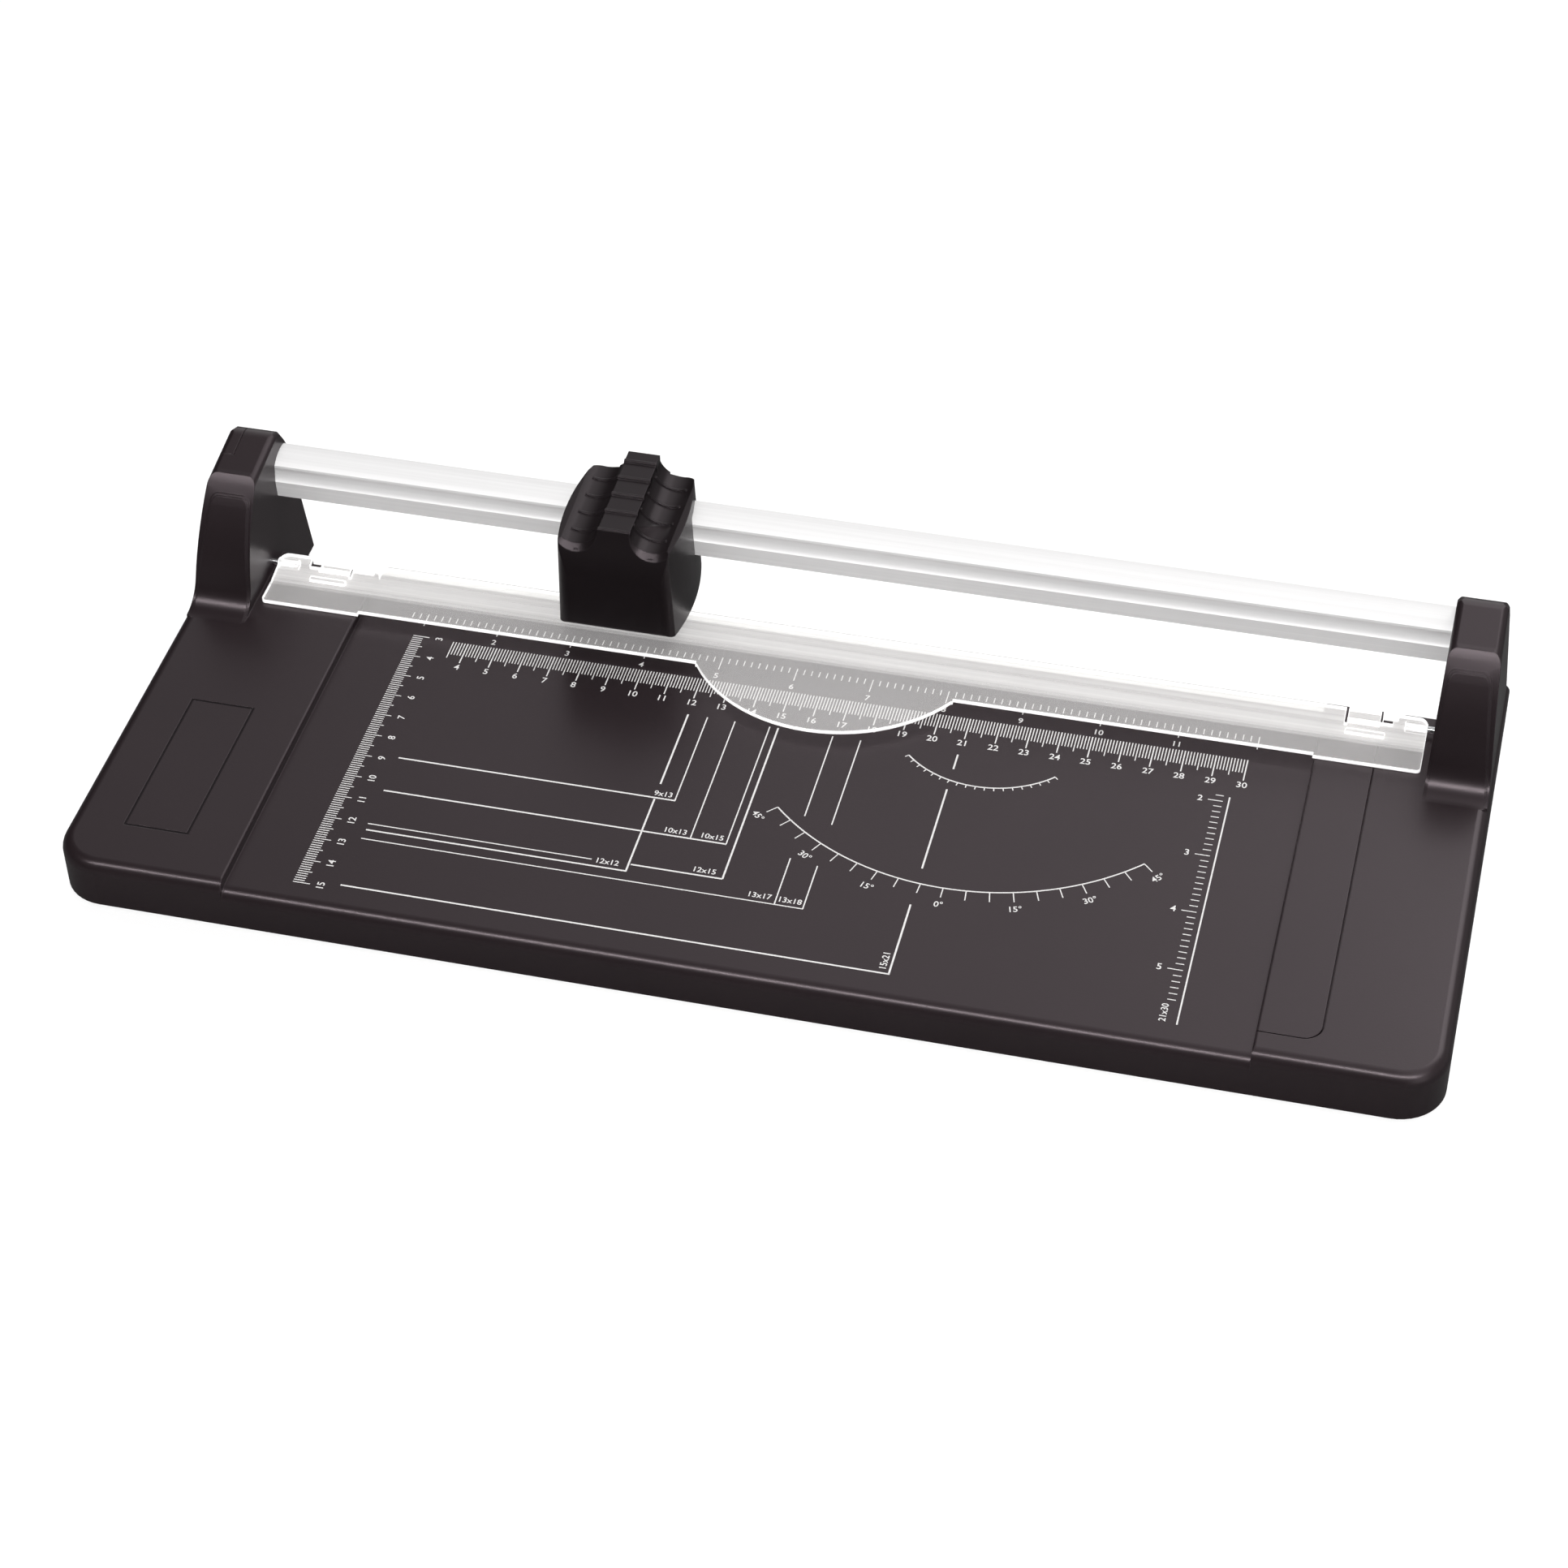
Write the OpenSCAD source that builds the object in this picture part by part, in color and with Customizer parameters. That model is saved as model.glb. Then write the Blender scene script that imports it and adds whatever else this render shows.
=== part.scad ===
// Paper trimmer with a sliding cutter head on a guide rail.
// Millimetres. X runs along the cut, Y runs to the rear, Z is up, table at Z = 0.

/* [Part] */
// Sub-part to draw, or all of them

/* [Base] */
// Overall width across the side panels
base_width = 434; // [430:1:440]
// Overall depth, front edge to the rear of the posts
base_depth = 184; // [182:1:188]
// Width of the sunken bed between the side panels
bed_width = 320; // [318:1:322]
// Height of the bed above the table
bed_top = 15; // [14.5:0.5:16]
// Step from the bed up to the side panels
panel_step = 3; // [2.8:0.1:3.2]
// Distance from the cut line to the rear of the posts
tail = 24; // [23.5:0.5:25]
// Radius of the front corners seen from above
corner_radius = 15; // [13:1:17]
// Rounding of the outer top edges
edge_radius = 4; // [3:0.5:5]
// Rounding of the panel edges beside the bed
step_radius = 0.8; // [0.6:0.1:1]
// Width of the plain marking frame on the left panel
frame_width = 21.5; // [20:0.5:23]
// Length of the marking frame
frame_length = 61; // [58:1:64]
// Distance of the marking frame from the outer edge
frame_side = 18; // [16:0.5:20]
// Distance of the marking frame from the front edge
frame_front = 19.7; // [18:0.1:22]
// Width of the groove around the marking frame
frame_line = 0.6; // [0.5:0.1:0.8]
// Depth of the groove around the marking frame
frame_depth = 0.3; // [0.2:0.05:0.4]
// Wall thickness of the moulding
wall = 2.5; // [2.3:0.1:2.8]
// Thickness of the ribs under the base
rib = 1.6; // [1.4:0.1:1.8]
// Gap between the ribs and the underside plane
rib_lift = 2; // [1.5:0.5:2.5]

/* [Posts] */
// Width of each post at the table
post_width = 22; // [21:0.5:23]
// Height of the post tops above the table
post_height = 61; // [60:0.5:62]
// Lean of the inner side face over the post height
lean_inner = 2; // [1.5:0.5:2.5]
// Lean of the outer side face over the post height
lean_outer = 4; // [3.5:0.5:4.5]
// Radius of the curved front of a post
front_radius = 65; // [64:1:66]
// Radius of the hollow between a panel and the front of its post
toe_radius = 10; // [9:0.5:11]
// Distance from the cut line forward to the top of the curved front
shoulder_reach = 12.5; // [12:0.5:13]
// Fall of the post top from its rear to the shoulder
top_fall = 3.6; // [3.2:0.2:4]
// Distance of the rear top corner in front of the rear foot of the post
rear_lean = 9; // [8.5:0.5:9.5]
// Rounding of the rear top corner of a post
crest_radius = 8; // [7:0.5:9]
// Rounding of the long top edges of a post
post_edge = 3; // [2.5:0.5:3.5]
// Thickness of the raised pad on the front of a post
pad_raise = 0.8; // [0.6:0.1:1]
// Step width along the edge of the raised pad
pad_step = 0.45; // [0.4:0.05:0.6]
// Margin of the raised pad to the inner side of the post
pad_inner = 0.9; // [0.7:0.1:1.2]
// Margin of the raised pad to the outer side of the post
pad_outer = 1.8; // [1.5:0.1:2.2]
// Upper edge of the raised pad above the table
pad_high = 52.5; // [52:0.5:53.5]
// Length of the lock cap on the left post
lock_length = 16.5; // [15:0.5:16.5]
// Thickness of the lock cap
lock_thick = 1.5; // [1.3:0.1:1.6]

/* [Guide rail] */
// Gap from the cut line to the front of the rail
rail_gap = 3; // [2.9:0.1:3.2]
// Depth of the rail
rail_depth = 11.5; // [11.2:0.1:11.8]
// Fall from the post tops to the underside of the rail
rail_drop = 22; // [21.6:0.1:22.2]
// Height of the rail at its crown
rail_height = 13.9; // [13.8:0.1:14]
// Radius of the crown
crown_radius = 11.4; // [11:0.2:12]
// Distance from the front of the rail to the crown line
crown_back = 8.5; // [8.3:0.1:8.7]
// Height of the ridge above the underside of the rail
ridge_rise = 5.5; // [5.2:0.1:5.8]
// Radius of the hollow above the ridge
groove_radius = 4.3; // [4.1:0.1:4.5]
// Wall thickness of the rail
rail_wall = 1.5; // [1.3:0.1:1.6]
// Length of rail held inside each post
rail_hold = 9; // [8:0.5:9.5]
// Height of the seat under each rail end
seat_height = 3.4; // [3:0.2:4]

/* [Clamp strip] */
// Gap between the strip and each post
strip_end_gap = 1.5; // [1.3:0.1:1.8]
// Thickness of the clear strip
strip_thick = 1.3; // [1.2:0.1:1.4]
// Gap under the strip above the panels
strip_lift = 0.4; // [0.4:0.1:0.5]
// Distance from the cut line to the front edge of the strip
strip_reach = 28.4; // [28:0.2:29]
// Set-back of the front edge over the bed
strip_setback = 1.3; // [1.1:0.1:1.5]
// Distance from the cut line to the rear edge of the strip
strip_back = 6; // [6:0.1:6.3]
// Width of the half-moon finger tab
tab_width = 85; // [83:1:88]
// Reach of the finger tab in front of the strip
tab_reach = 23; // [22:0.5:24]
// Distance of the clips from the ends of the strip
clip_inset = 20.2; // [19.6:0.2:20.8]
// Width of the clips at the rear edge
clip_width = 10.4; // [10:0.2:10.8]
// Length of the slots beside the clips
clip_slot = 4; // [3.6:0.2:4.4]
// Distance from the cut line to the strip pivot
pivot_back = 9.5; // [9.3:0.1:9.7]
// Height of the pivot above the panels
pivot_rise = 2.4; // [2.3:0.1:2.5]
// Radius of the pivot pins
pivot_radius = 1.2; // [1.1:0.1:1.3]
// Depth of the pivot pins inside the posts
pivot_depth = 1.9; // [1.6:0.1:2]

/* [Cutting strip] */
// Thickness of the cutting strip
mat_thick = 2.5; // [2.4:0.1:2.6]
// Width of the cutting strip
mat_width = 4.4; // [4.2:0.1:4.6]
// Gap at each end of the cutting strip
mat_end_gap = 0.2; // [0.1:0.1:0.4]
// Width of the key under the cutting strip
mat_key = 1.2; // [1.1:0.1:1.3]
// Depth of the key under the cutting strip
mat_key_depth = 1.4; // [1.2:0.1:1.6]

/* [Fence] */
// Share of the side panel taken up by the fence plate
fence_share = 0.33; // [0.31:0.01:0.34]
// Distance from the front edge of the base to the fence plate
fence_inset = 10; // [9:0.5:11]
// Radius of the front outer corner of the fence plate
fence_corner = 6; // [5:0.5:7]
// Width of the visible joint around the fence plate
fence_joint = 0.45; // [0.4:0.05:0.6]
// Radius of the pegs that hold the fence plate
peg_radius = 2; // [1.8:0.1:2.2]

/* [Cutter head] */
// Distance of the cutter head from the middle, to the left
head_offset = 71; // [69:1:73]
// Width of the head at its lower edge
head_width = 39; // [38.6:0.1:39.2]
// Narrowing of each side up to the rims
head_draft = 1.5; // [1.3:0.1:1.7]
// Narrowing of each side towards the rear
head_taper = 1.3; // [1.1:0.1:1.5]
// Bulge of each side of the head beyond its front corners
head_bulge = 1.9; // [1.7:0.1:2]
// Radius of the bulged sides
bulge_radius = 80; // [78:1:84]
// Radius of the upper front face that bows back
bow_radius = 47; // [45:1:49]
// Height above the table where the front face starts to bow
bow_start = 44; // [43:0.5:45]
// Distance from the rail forward to the front face
head_reach = 26.5; // [26.2:0.1:26.8]
// Lower edge of the head above the table
head_low = 24.2; // [24.2:0.1:24.5]
// Height of the front rims above the top of the rail
rim_front = 5; // [4.8:0.1:5.2]
// Height of the rear rims above the top of the rail
rim_rear = 7.5; // [7.3:0.1:7.7]
// Lowest line of the finger scoops above the top of the rail
scoop_low = 3.4; // [3.4:0.05:3.6]
// Rise of the scoops towards the rear in degrees
scoop_tilt = 3; // [3:0.1:3.3]
// Radius of the finger scoops
scoop_radius = 8; // [7.8:0.1:8.1]
// Distance of each scoop from the middle of the head
scoop_offset = 12.9; // [12.8:0.1:13]
// Height of the grip arcs in the scoops
arc_raise = 0.45; // [0.4:0.05:0.5]
// Thickness of the grip arcs
arc_thick = 0.9; // [0.8:0.1:1]
// Spacing of the grip arcs
arc_pitch = 8.5; // [8.3:0.1:8.6]
// Width of the stepped spine
spine_width = 10.7; // [10.5:0.1:10.9]
// Height of the spine at its front above the top of the rail
spine_front = 10.1; // [9.9:0.1:10.3]
// Length of one step of the spine
step_pitch = 7.9; // [7.8:0.1:8]
// Rise of one step of the spine
step_rise = 0.75; // [0.7:0.05:0.8]
// Wall thickness of the head
head_wall = 2; // [1.9:0.1:2.1]
// Thickness of the rear cover of the head
cover_thick = 2.15; // [2:0.05:2.3]
// Travel of the head when it is pressed down
press_travel = 1.5; // [1.4:0.1:1.5]
// Wall thickness of the glide sleeve
sleeve_wall = 1.3; // [1.2:0.05:1.3]
// Roof thickness of the glide sleeve over the crown
sleeve_roof = 0.9; // [0.8:0.05:0.9]

/* [Blade] */
// Radius of the round blade
blade_radius = 14; // [13.9:0.05:14.05]
// Thickness of the blade
blade_thick = 0.6; // [0.5:0.05:0.7]
// Height of the raised blade edge above the cutting strip
blade_lift = 1.8; // [1.8:0.05:2]
// Radius of the blade axle
axle_radius = 2; // [1.8:0.1:2.2]
// Thickness of the blade carrier
carrier_thick = 2.8; // [2.6:0.1:2.9]
// Width of the blade carrier
carrier_width = 30; // [29:0.5:30.5]

/* [Fits] */
// Side gap of the head around moving parts
guide_gap = 0.3; // [0.3:0.02:0.34]
// Gap between the rail and the glide sleeve
slide_gap = 0.25; // [0.2:0.05:0.25]
// Radial gap of turning parts
turn_gap = 0.06; // [0.05:0.01:0.08]
// Gap between parts that are let into each other
seat_gap = 0.15; // [0.1:0.05:0.2]

/* [Fixings] */
// Height of the rubber feet below the base
foot_height = 1; // [1:0.1:1.3]
// Radius of the rubber feet
foot_radius = 7; // [6:0.5:8]
// Radius of the screw shanks
screw_radius = 1.3; // [1.2:0.1:1.4]
// Radius of the screw heads
screw_head = 2.4; // [2.2:0.1:2.6]
// Height of the screw heads
screw_head_height = 1.4; // [1.2:0.1:1.6]

/* [Hidden] */
$fn = 64;
half = base_width / 2;
rear = base_depth / 2;
front = -base_depth / 2;
cut_y = rear - tail;
panel_top = bed_top + panel_step;
bed_half = bed_width / 2;
fence_width = (half - bed_half) * fence_share;
ledge_z = bed_top - mat_thick;
base_rear = cut_y + mat_width / 2;
panel_rear = cut_y - 1.2;
panel_back = cut_y - 5.2;
shelf_width = 11;
rebate_y = cut_y - mat_width / 2;
post_in = half - post_width;
top_front_y = cut_y - shoulder_reach + 3.5;
top_front_z = post_height - top_fall;
lock_tilt = atan(top_fall / (rear - rear_lean - top_front_y));
lock_z = top_front_z + (cut_y - 2 - top_front_y) * tan(lock_tilt) - lock_thick;
rear_top = [rear - rear_lean - 0.2, post_height];
rear_slope = atan((rear - rear_top[0]) / (post_height - foot_height));
crest_out = [cos(rear_slope) - sin(lock_tilt), cos(lock_tilt) + sin(rear_slope)];
crest_centre = rear_top - crest_radius / (1 + sin(rear_slope - lock_tilt)) * crest_out;
arc_mid = [cut_y - 21.5, panel_top + 26.6];
arc_mid_slope = 57;
arc_centre = arc_mid + front_radius * [sin(arc_mid_slope), -cos(arc_mid_slope)];
toe_z = panel_top + toe_radius;
toe_y = arc_centre[0] - sqrt(pow(front_radius + toe_radius, 2) - pow(toe_z - arc_centre[1], 2));
toe_dir = ([toe_y, toe_z] - arc_centre) / (front_radius + toe_radius);
toe_touch = arc_centre + front_radius * toe_dir;
rail_low = post_height - rail_drop;
rail_front = cut_y + rail_gap;
rail_rear = rail_front + rail_depth;
rail_top = rail_low + rail_height;
rail_crown = [rail_front + crown_back, rail_top - crown_radius];
ridge_z = rail_low + ridge_rise;
rail_half = post_in + rail_hold + 5;
seat_low = rail_low - seat_height;
plug_x = post_in + 8.5;
rail_mid = (rail_front + rail_rear) / 2;
strip_half = post_in - strip_end_gap;
strip_low = panel_top + strip_lift - 0.2;
strip_front = cut_y - strip_reach;
strip_rear = cut_y - strip_back;
tab_chord = tab_width / 2;
tab_radius = (tab_chord * tab_chord + tab_reach * tab_reach) / (2 * tab_reach);
pivot = [cut_y - pivot_back, panel_top + pivot_rise];
clip_x = strip_half - clip_inset;
head_x = -head_offset;
head_front = rail_front - head_reach;
sleeve_front = rail_front - slide_gap - sleeve_wall;
sleeve_rear = rail_rear + slide_gap + sleeve_wall;
sleeve_low = rail_low - slide_gap - sleeve_wall;
sleeve_top = rail_top + slide_gap + sleeve_roof;
sleeve_half = head_width / 2 - head_taper - head_wall - guide_gap;
head_rear = sleeve_rear + guide_gap + cover_thick;
cover_y = head_rear - cover_thick;
tunnel_top = sleeve_top + press_travel + guide_gap;
head_half_low = head_width / 2;
head_half_top = head_half_low - head_draft;
rim_front_z = rail_top + rim_front;
rim_rear_z = rail_top + rim_rear;
scoop_z = rail_top + scoop_low;
scoop_top = scoop_z + scoop_radius;
spine_z = rail_top + spine_front;
spine_y = head_front + 4;
head_mid = (head_front + head_rear) / 2;
head_inner = head_front + head_wall + 0.4;
draft_angle = atan(head_draft / (rim_rear_z + 8 - head_low));
blade_z = bed_top + blade_lift + blade_radius;
carrier_front = cut_y - 5.4;
carrier_rear = carrier_front + carrier_thick;
carrier_half = carrier_width / 2;
blade_front = cut_y - blade_thick / 2;
blade_rear = cut_y + blade_thick / 2;
washer_rear = blade_front - 0.3;
washer_front = washer_rear - 0.8;
clip_front = blade_rear + 0.3;
clip_rear = clip_front + 0.7;
carrier_screw = [12.4, rail_top - 3.9];
cover_screw = [11.8, (head_low + sleeve_low) / 2 - 1.8];
spring_radius = 2.6;
spring_y = [sleeve_front + 3.1, sleeve_front + 9.5];
pocket_top = rail_top + 8.5;
foot_spots = [
  [half - 17, front + 16],
  [17 - half, front + 16],
  [half - 30, cut_y - 20],
  [30 - half, cut_y - 20],
  [0, front + 16],
  [0, cut_y - 14]
];

function unit2(v) = v / norm(v);
function before(p, i) = unit2(p[(i + len(p) - 1) % len(p)] - p[i]);
function after(p, i) = unit2(p[(i + 1) % len(p)] - p[i]);
function half_angle(p, i) = acos(before(p, i) * after(p, i)) / 2;
function turn(p, i) = before(p, i)[0] * after(p, i)[1] - before(p, i)[1] * after(p, i)[0];
function arc_spot(p, i, r) =
  p[i] + unit2(before(p, i) + after(p, i)) * r / sin(half_angle(p, i));
function corner_points(p, i, r) =
  r == 0 ? [p[i]] : [
    p[i] + before(p, i) * r / tan(half_angle(p, i)),
    p[i] + after(p, i) * r / tan(half_angle(p, i))
  ];
function cut_points(p, r) = [for (i = [0:len(p) - 1]) each corner_points(p, i, r[i])];

// Outline with straight sides and true arcs of radius r[i] at its corners.
module arc_outline(p, r) {
  difference() {
    union() {
      polygon(cut_points(p, r));
      for (i = [0:len(p) - 1])
        if (r[i] > 0 && turn(p, i) < 0)
          translate(arc_spot(p, i, r[i]))
            circle(r[i]);
    }
    for (i = [0:len(p) - 1])
      if (r[i] > 0 && turn(p, i) > 0)
        translate(arc_spot(p, i, r[i]))
          circle(r[i]);
  }
}

// Draws a Y-Z outline and sweeps it from x0 to x1.
module sweep_x(x0, x1) {
  translate([x0, 0, 0])
    rotate([90, 0, 90])
      linear_extrude(x1 - x0)
        children();
}

// Draws an X-Z outline and sweeps it from y0 to y1.
module sweep_y(y0, y1) {
  translate([0, y1, 0])
    rotate([90, 0, 0])
      linear_extrude(y1 - y0)
        children();
}

// Copies a right-hand shape to both sides.
module both_sides() {
  children();
  mirror([1, 0, 0])
    children();
}

// Cylinder along Y from y0 to y1.
module rod_y(x, z, y0, y1, r) {
  translate([x, y1, z])
    rotate([90, 0, 0])
      cylinder(h = y1 - y0, r = r);
}

// Cylinder along X from x0 to x1.
module rod_x(y, z, x0, x1, r) {
  translate([x0, y, z])
    rotate([0, 90, 0])
      cylinder(h = x1 - x0, r = r);
}

// Section across a rounded outer edge, measured inwards from the edge.
module edge_section(depth, top) {
  arc_outline(
    [[0, foot_height], [depth, foot_height], [depth, top], [0, top]],
    [0, 0, edge_radius, 0]
  );
}

// Front edge of the base from x0 to x1, up to height top.
module front_run(x0, x1, top) {
  translate([x1, front + corner_radius, 0])
    rotate([0, 0, -90])
      rotate([90, 0, 0])
        linear_extrude(x1 - x0)
          edge_section(corner_radius, top);
}

// Right side panel with its rounded front, corner and outer edge.
module panel_block() {
  run = half - corner_radius;
  corner_y = front + corner_radius;
  difference() {
    union() {
      translate([bed_half, corner_y, foot_height])
        cube([run - bed_half, rear - corner_y, panel_top - foot_height]);
      front_run(bed_half, run, panel_top);
      translate([run, rear, 0])
        rotate([90, 0, 0])
          linear_extrude(rear - corner_y)
            edge_section(corner_radius, panel_top);
      translate([run, corner_y, 0])
        rotate([0, 0, -90])
          rotate_extrude(angle = 90)
            edge_section(corner_radius, panel_top);
    }
    // Softened edge beside the bed
    sweep_y(front - 1, rear + 1)
      difference() {
        translate([bed_half - 1, panel_top - step_radius])
          square([1 + step_radius, step_radius + 1]);
        translate([bed_half + step_radius, panel_top - step_radius])
          circle(step_radius);
      }
    // Rear edge of the panel, further back beside the post
    linear_extrude(60)
      arc_outline(
        [
          [bed_half - 1, panel_back],
          [post_in - shelf_width, panel_back],
          [post_in - shelf_width, panel_rear],
          [post_in + 1, panel_rear],
          [post_in + 1, rear + 20],
          [bed_half - 1, rear + 20]
        ],
        [0, 0.8, 2.5, 0, 0, 0]
      );
  }
}

// Side view of a post.
module post_outline() {
  intersection() {
    arc_outline(
      [
        [toe_y, foot_height],
        [rear, foot_height],
        rear_top,
        [top_front_y, top_front_z],
        [toe_y, top_front_z - 3]
      ],
      [0, 0, crest_radius, 0, 0]
    );
    union() {
      translate(arc_centre)
        circle(front_radius);
      polygon([[toe_y - 1, 0], [rear + 1, 0], [rear + 1, panel_top], [toe_y - 1, panel_top]]);
    }
  }
  difference() {
    polygon([[toe_y, panel_top - 1], [toe_touch[0] + 4, panel_top - 1], toe_touch, [toe_y, panel_top]]);
    translate([toe_y, toe_z])
      circle(toe_radius);
  }
}

// Front view of the right post.
module post_section() {
  arc_outline(
    [
      [post_in, foot_height],
      [half, foot_height],
      [half - lean_outer, post_height],
      [post_in + lean_inner, post_height]
    ],
    [0, 0, 0, 0]
  );
}

// Right post as one solid body.
module post_body() {
  intersection() {
    sweep_x(post_in - 1, half + 1)
      post_outline();
    sweep_y(toe_y - 1, rear + 1)
      post_section();
    post_edges(lock_tilt);
    post_edges(lock_tilt - 32);
    post_edges(lock_tilt - 64);
  }
}

// Envelope that rounds the side edges of a post where its top has the slope a.
module post_edges(a) {
  share = (crest_centre[1] + crest_radius * cos(a) - foot_height) / (post_height - foot_height);
  translate([0, crest_centre[0], crest_centre[1]])
    rotate([a, 0, 0])
      sweep_y(-70, 60)
        arc_outline(
          [
            [post_in - 6, -62],
            [half + 6, -62],
            [half - lean_outer * share, crest_radius + 0.05],
            [post_in + lean_inner * share, crest_radius + 0.05]
          ],
          [0, 0, post_edge, post_edge]
        );
}

// Side view of the curved front of a post, raised by h, with the hollow at its toe.
module front_outline(h) {
  reach = front_radius + h + toe_radius;
  y = arc_centre[0] - sqrt(pow(reach, 2) - pow(toe_z - arc_centre[1], 2));
  touch = arc_centre + (front_radius + h) / reach * ([y, toe_z] - arc_centre);
  intersection() {
    translate(arc_centre)
      circle(front_radius + h);
    translate([y, panel_top - 1])
      square([arc_mid[0] + 12 - y, pad_high + 2 - panel_top]);
  }
  difference() {
    polygon([[y, panel_top - 1], [touch[0] + 4, panel_top - 1], touch, [y, panel_top]]);
    translate([y, toe_z])
      circle(toe_radius);
  }
}

// Raised pad in two thin layers on the curved front of a post, running out on the panel.
module post_pad() {
  for (k = [0, 1]) {
    inset = k * pad_step;
    intersection() {
      sweep_x(post_in, half)
        front_outline(pad_raise * (k + 1) / 2);
      sweep_y(toe_y - 4, cut_y - 4)
        arc_outline(
          [
            [post_in + pad_inner + inset, panel_top - 1],
            [half - pad_outer - inset, panel_top - 1],
            [half - lean_outer - pad_outer - inset, pad_high - inset],
            [post_in + lean_inner + pad_inner + inset, pad_high - inset]
          ],
          [0, 0, 2.5, 2.5]
        );
    }
  }
}

// Hollow inside the right post, open at the table side.
module post_hollow() {
  intersection() {
    sweep_x(post_in, half)
      arc_outline(
        [
          [toe_y + 12, -1],
          [rear - wall, -1],
          [rear_top[0] - wall - 0.6, post_height - wall],
          [top_front_y + 2, top_front_z - wall - 0.3],
          [arc_mid[0] + 5.5, arc_mid[1] + 3],
          [toe_y + 13.5, toe_z - 2]
        ],
        [0, 0, crest_radius - wall, 4, 8, 6]
      );
    sweep_y(toe_y, rear)
      polygon([
        [post_in + wall, -1],
        [half - wall, -1],
        [half - lean_outer - wall, post_height],
        [post_in + lean_inner + wall, post_height]
      ]);
  }
}

// Slanted recess for the lock cap in the outer top edge of the left post.
module lock_recess(gap) {
  translate([-half, cut_y - 2 + gap, lock_z + gap])
    rotate([lock_tilt, 0, 0])
      cube([post_width - 12.8 - gap, lock_length - 2 * gap, 12]);
}

// Ceiling-high ribs and the outer wall are left when this is cut away.
module base_hollow() {
  inner_front = front + wall;
  low = foot_height - 1;
  // Under the bed
  translate([-bed_half + wall, inner_front, low])
    cube([bed_width - 2 * wall, rebate_y - wall - inner_front, ledge_z - low]);
  translate([-bed_half + wall, cut_y - 12, low])
    cube([bed_width - 2 * wall, base_rear - wall - cut_y + 12, ledge_z - wall - low]);
  both_sides() {
    // Under the side panels
    translate([bed_half + rib, inner_front + 1.5, low])
      cube([post_in - bed_half - rib - 1, panel_back - wall - inner_front - 1.5, ledge_z - low]);
    translate([post_in - shelf_width + wall, panel_back - wall - 1, low])
      cube([shelf_width - wall - 1, panel_rear - panel_back + 1, ledge_z - low]);
    translate([post_in - 1.5, inner_front + 5, low])
      cube([half - wall - 1.5 - post_in, toe_y + 8 - inner_front - 5, panel_top - wall - low]);
  }
}

// Stiffening ribs under the base.
module base_ribs() {
  z0 = foot_height + rib_lift;
  tall = ledge_z + 0.5 - z0;
  low_tall = ledge_z - wall + 0.5 - z0;
  span_y = rebate_y - front - wall;
  for (x = [-96, -32, 32, 96])
    translate([x - rib / 2, front + wall - 0.5, z0])
      cube([rib, span_y, tall]);
  for (y = [front + 34, front + 82, front + 126])
    translate([-bed_half + 1, y, z0])
      cube([bed_width - 2, rib, tall]);
  both_sides()
    for (y = [front + 34, front + 82, front + 126])
      translate([bed_half, y, z0])
        cube([post_in - bed_half, rib, tall]);
}

// Round seats for the rubber feet.
module foot_bosses() {
  for (p = foot_spots)
    translate([p[0], p[1], foot_height])
      cylinder(h = ledge_z + 0.5 - foot_height, r = foot_radius + 1.6);
}

// Boss for a post cover screw.
module cover_boss(y) {
  translate([post_in + 10.5, y, foot_height + 2.2])
    cylinder(h = 9, r = 3);
  translate([post_in + 10.5, y - rib / 2, foot_height + 2.2])
    cube([half - post_in - 12, rib, 9]);
}

// Groove of the plain marking frame on the left panel.
module frame_groove() {
  translate([frame_side - half, front + frame_front, panel_top - frame_depth])
    linear_extrude(2)
      difference() {
        square([frame_width, frame_length]);
        translate([frame_line, frame_line])
          square([frame_width - 2 * frame_line, frame_length - 2 * frame_line]);
      }
}

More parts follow.
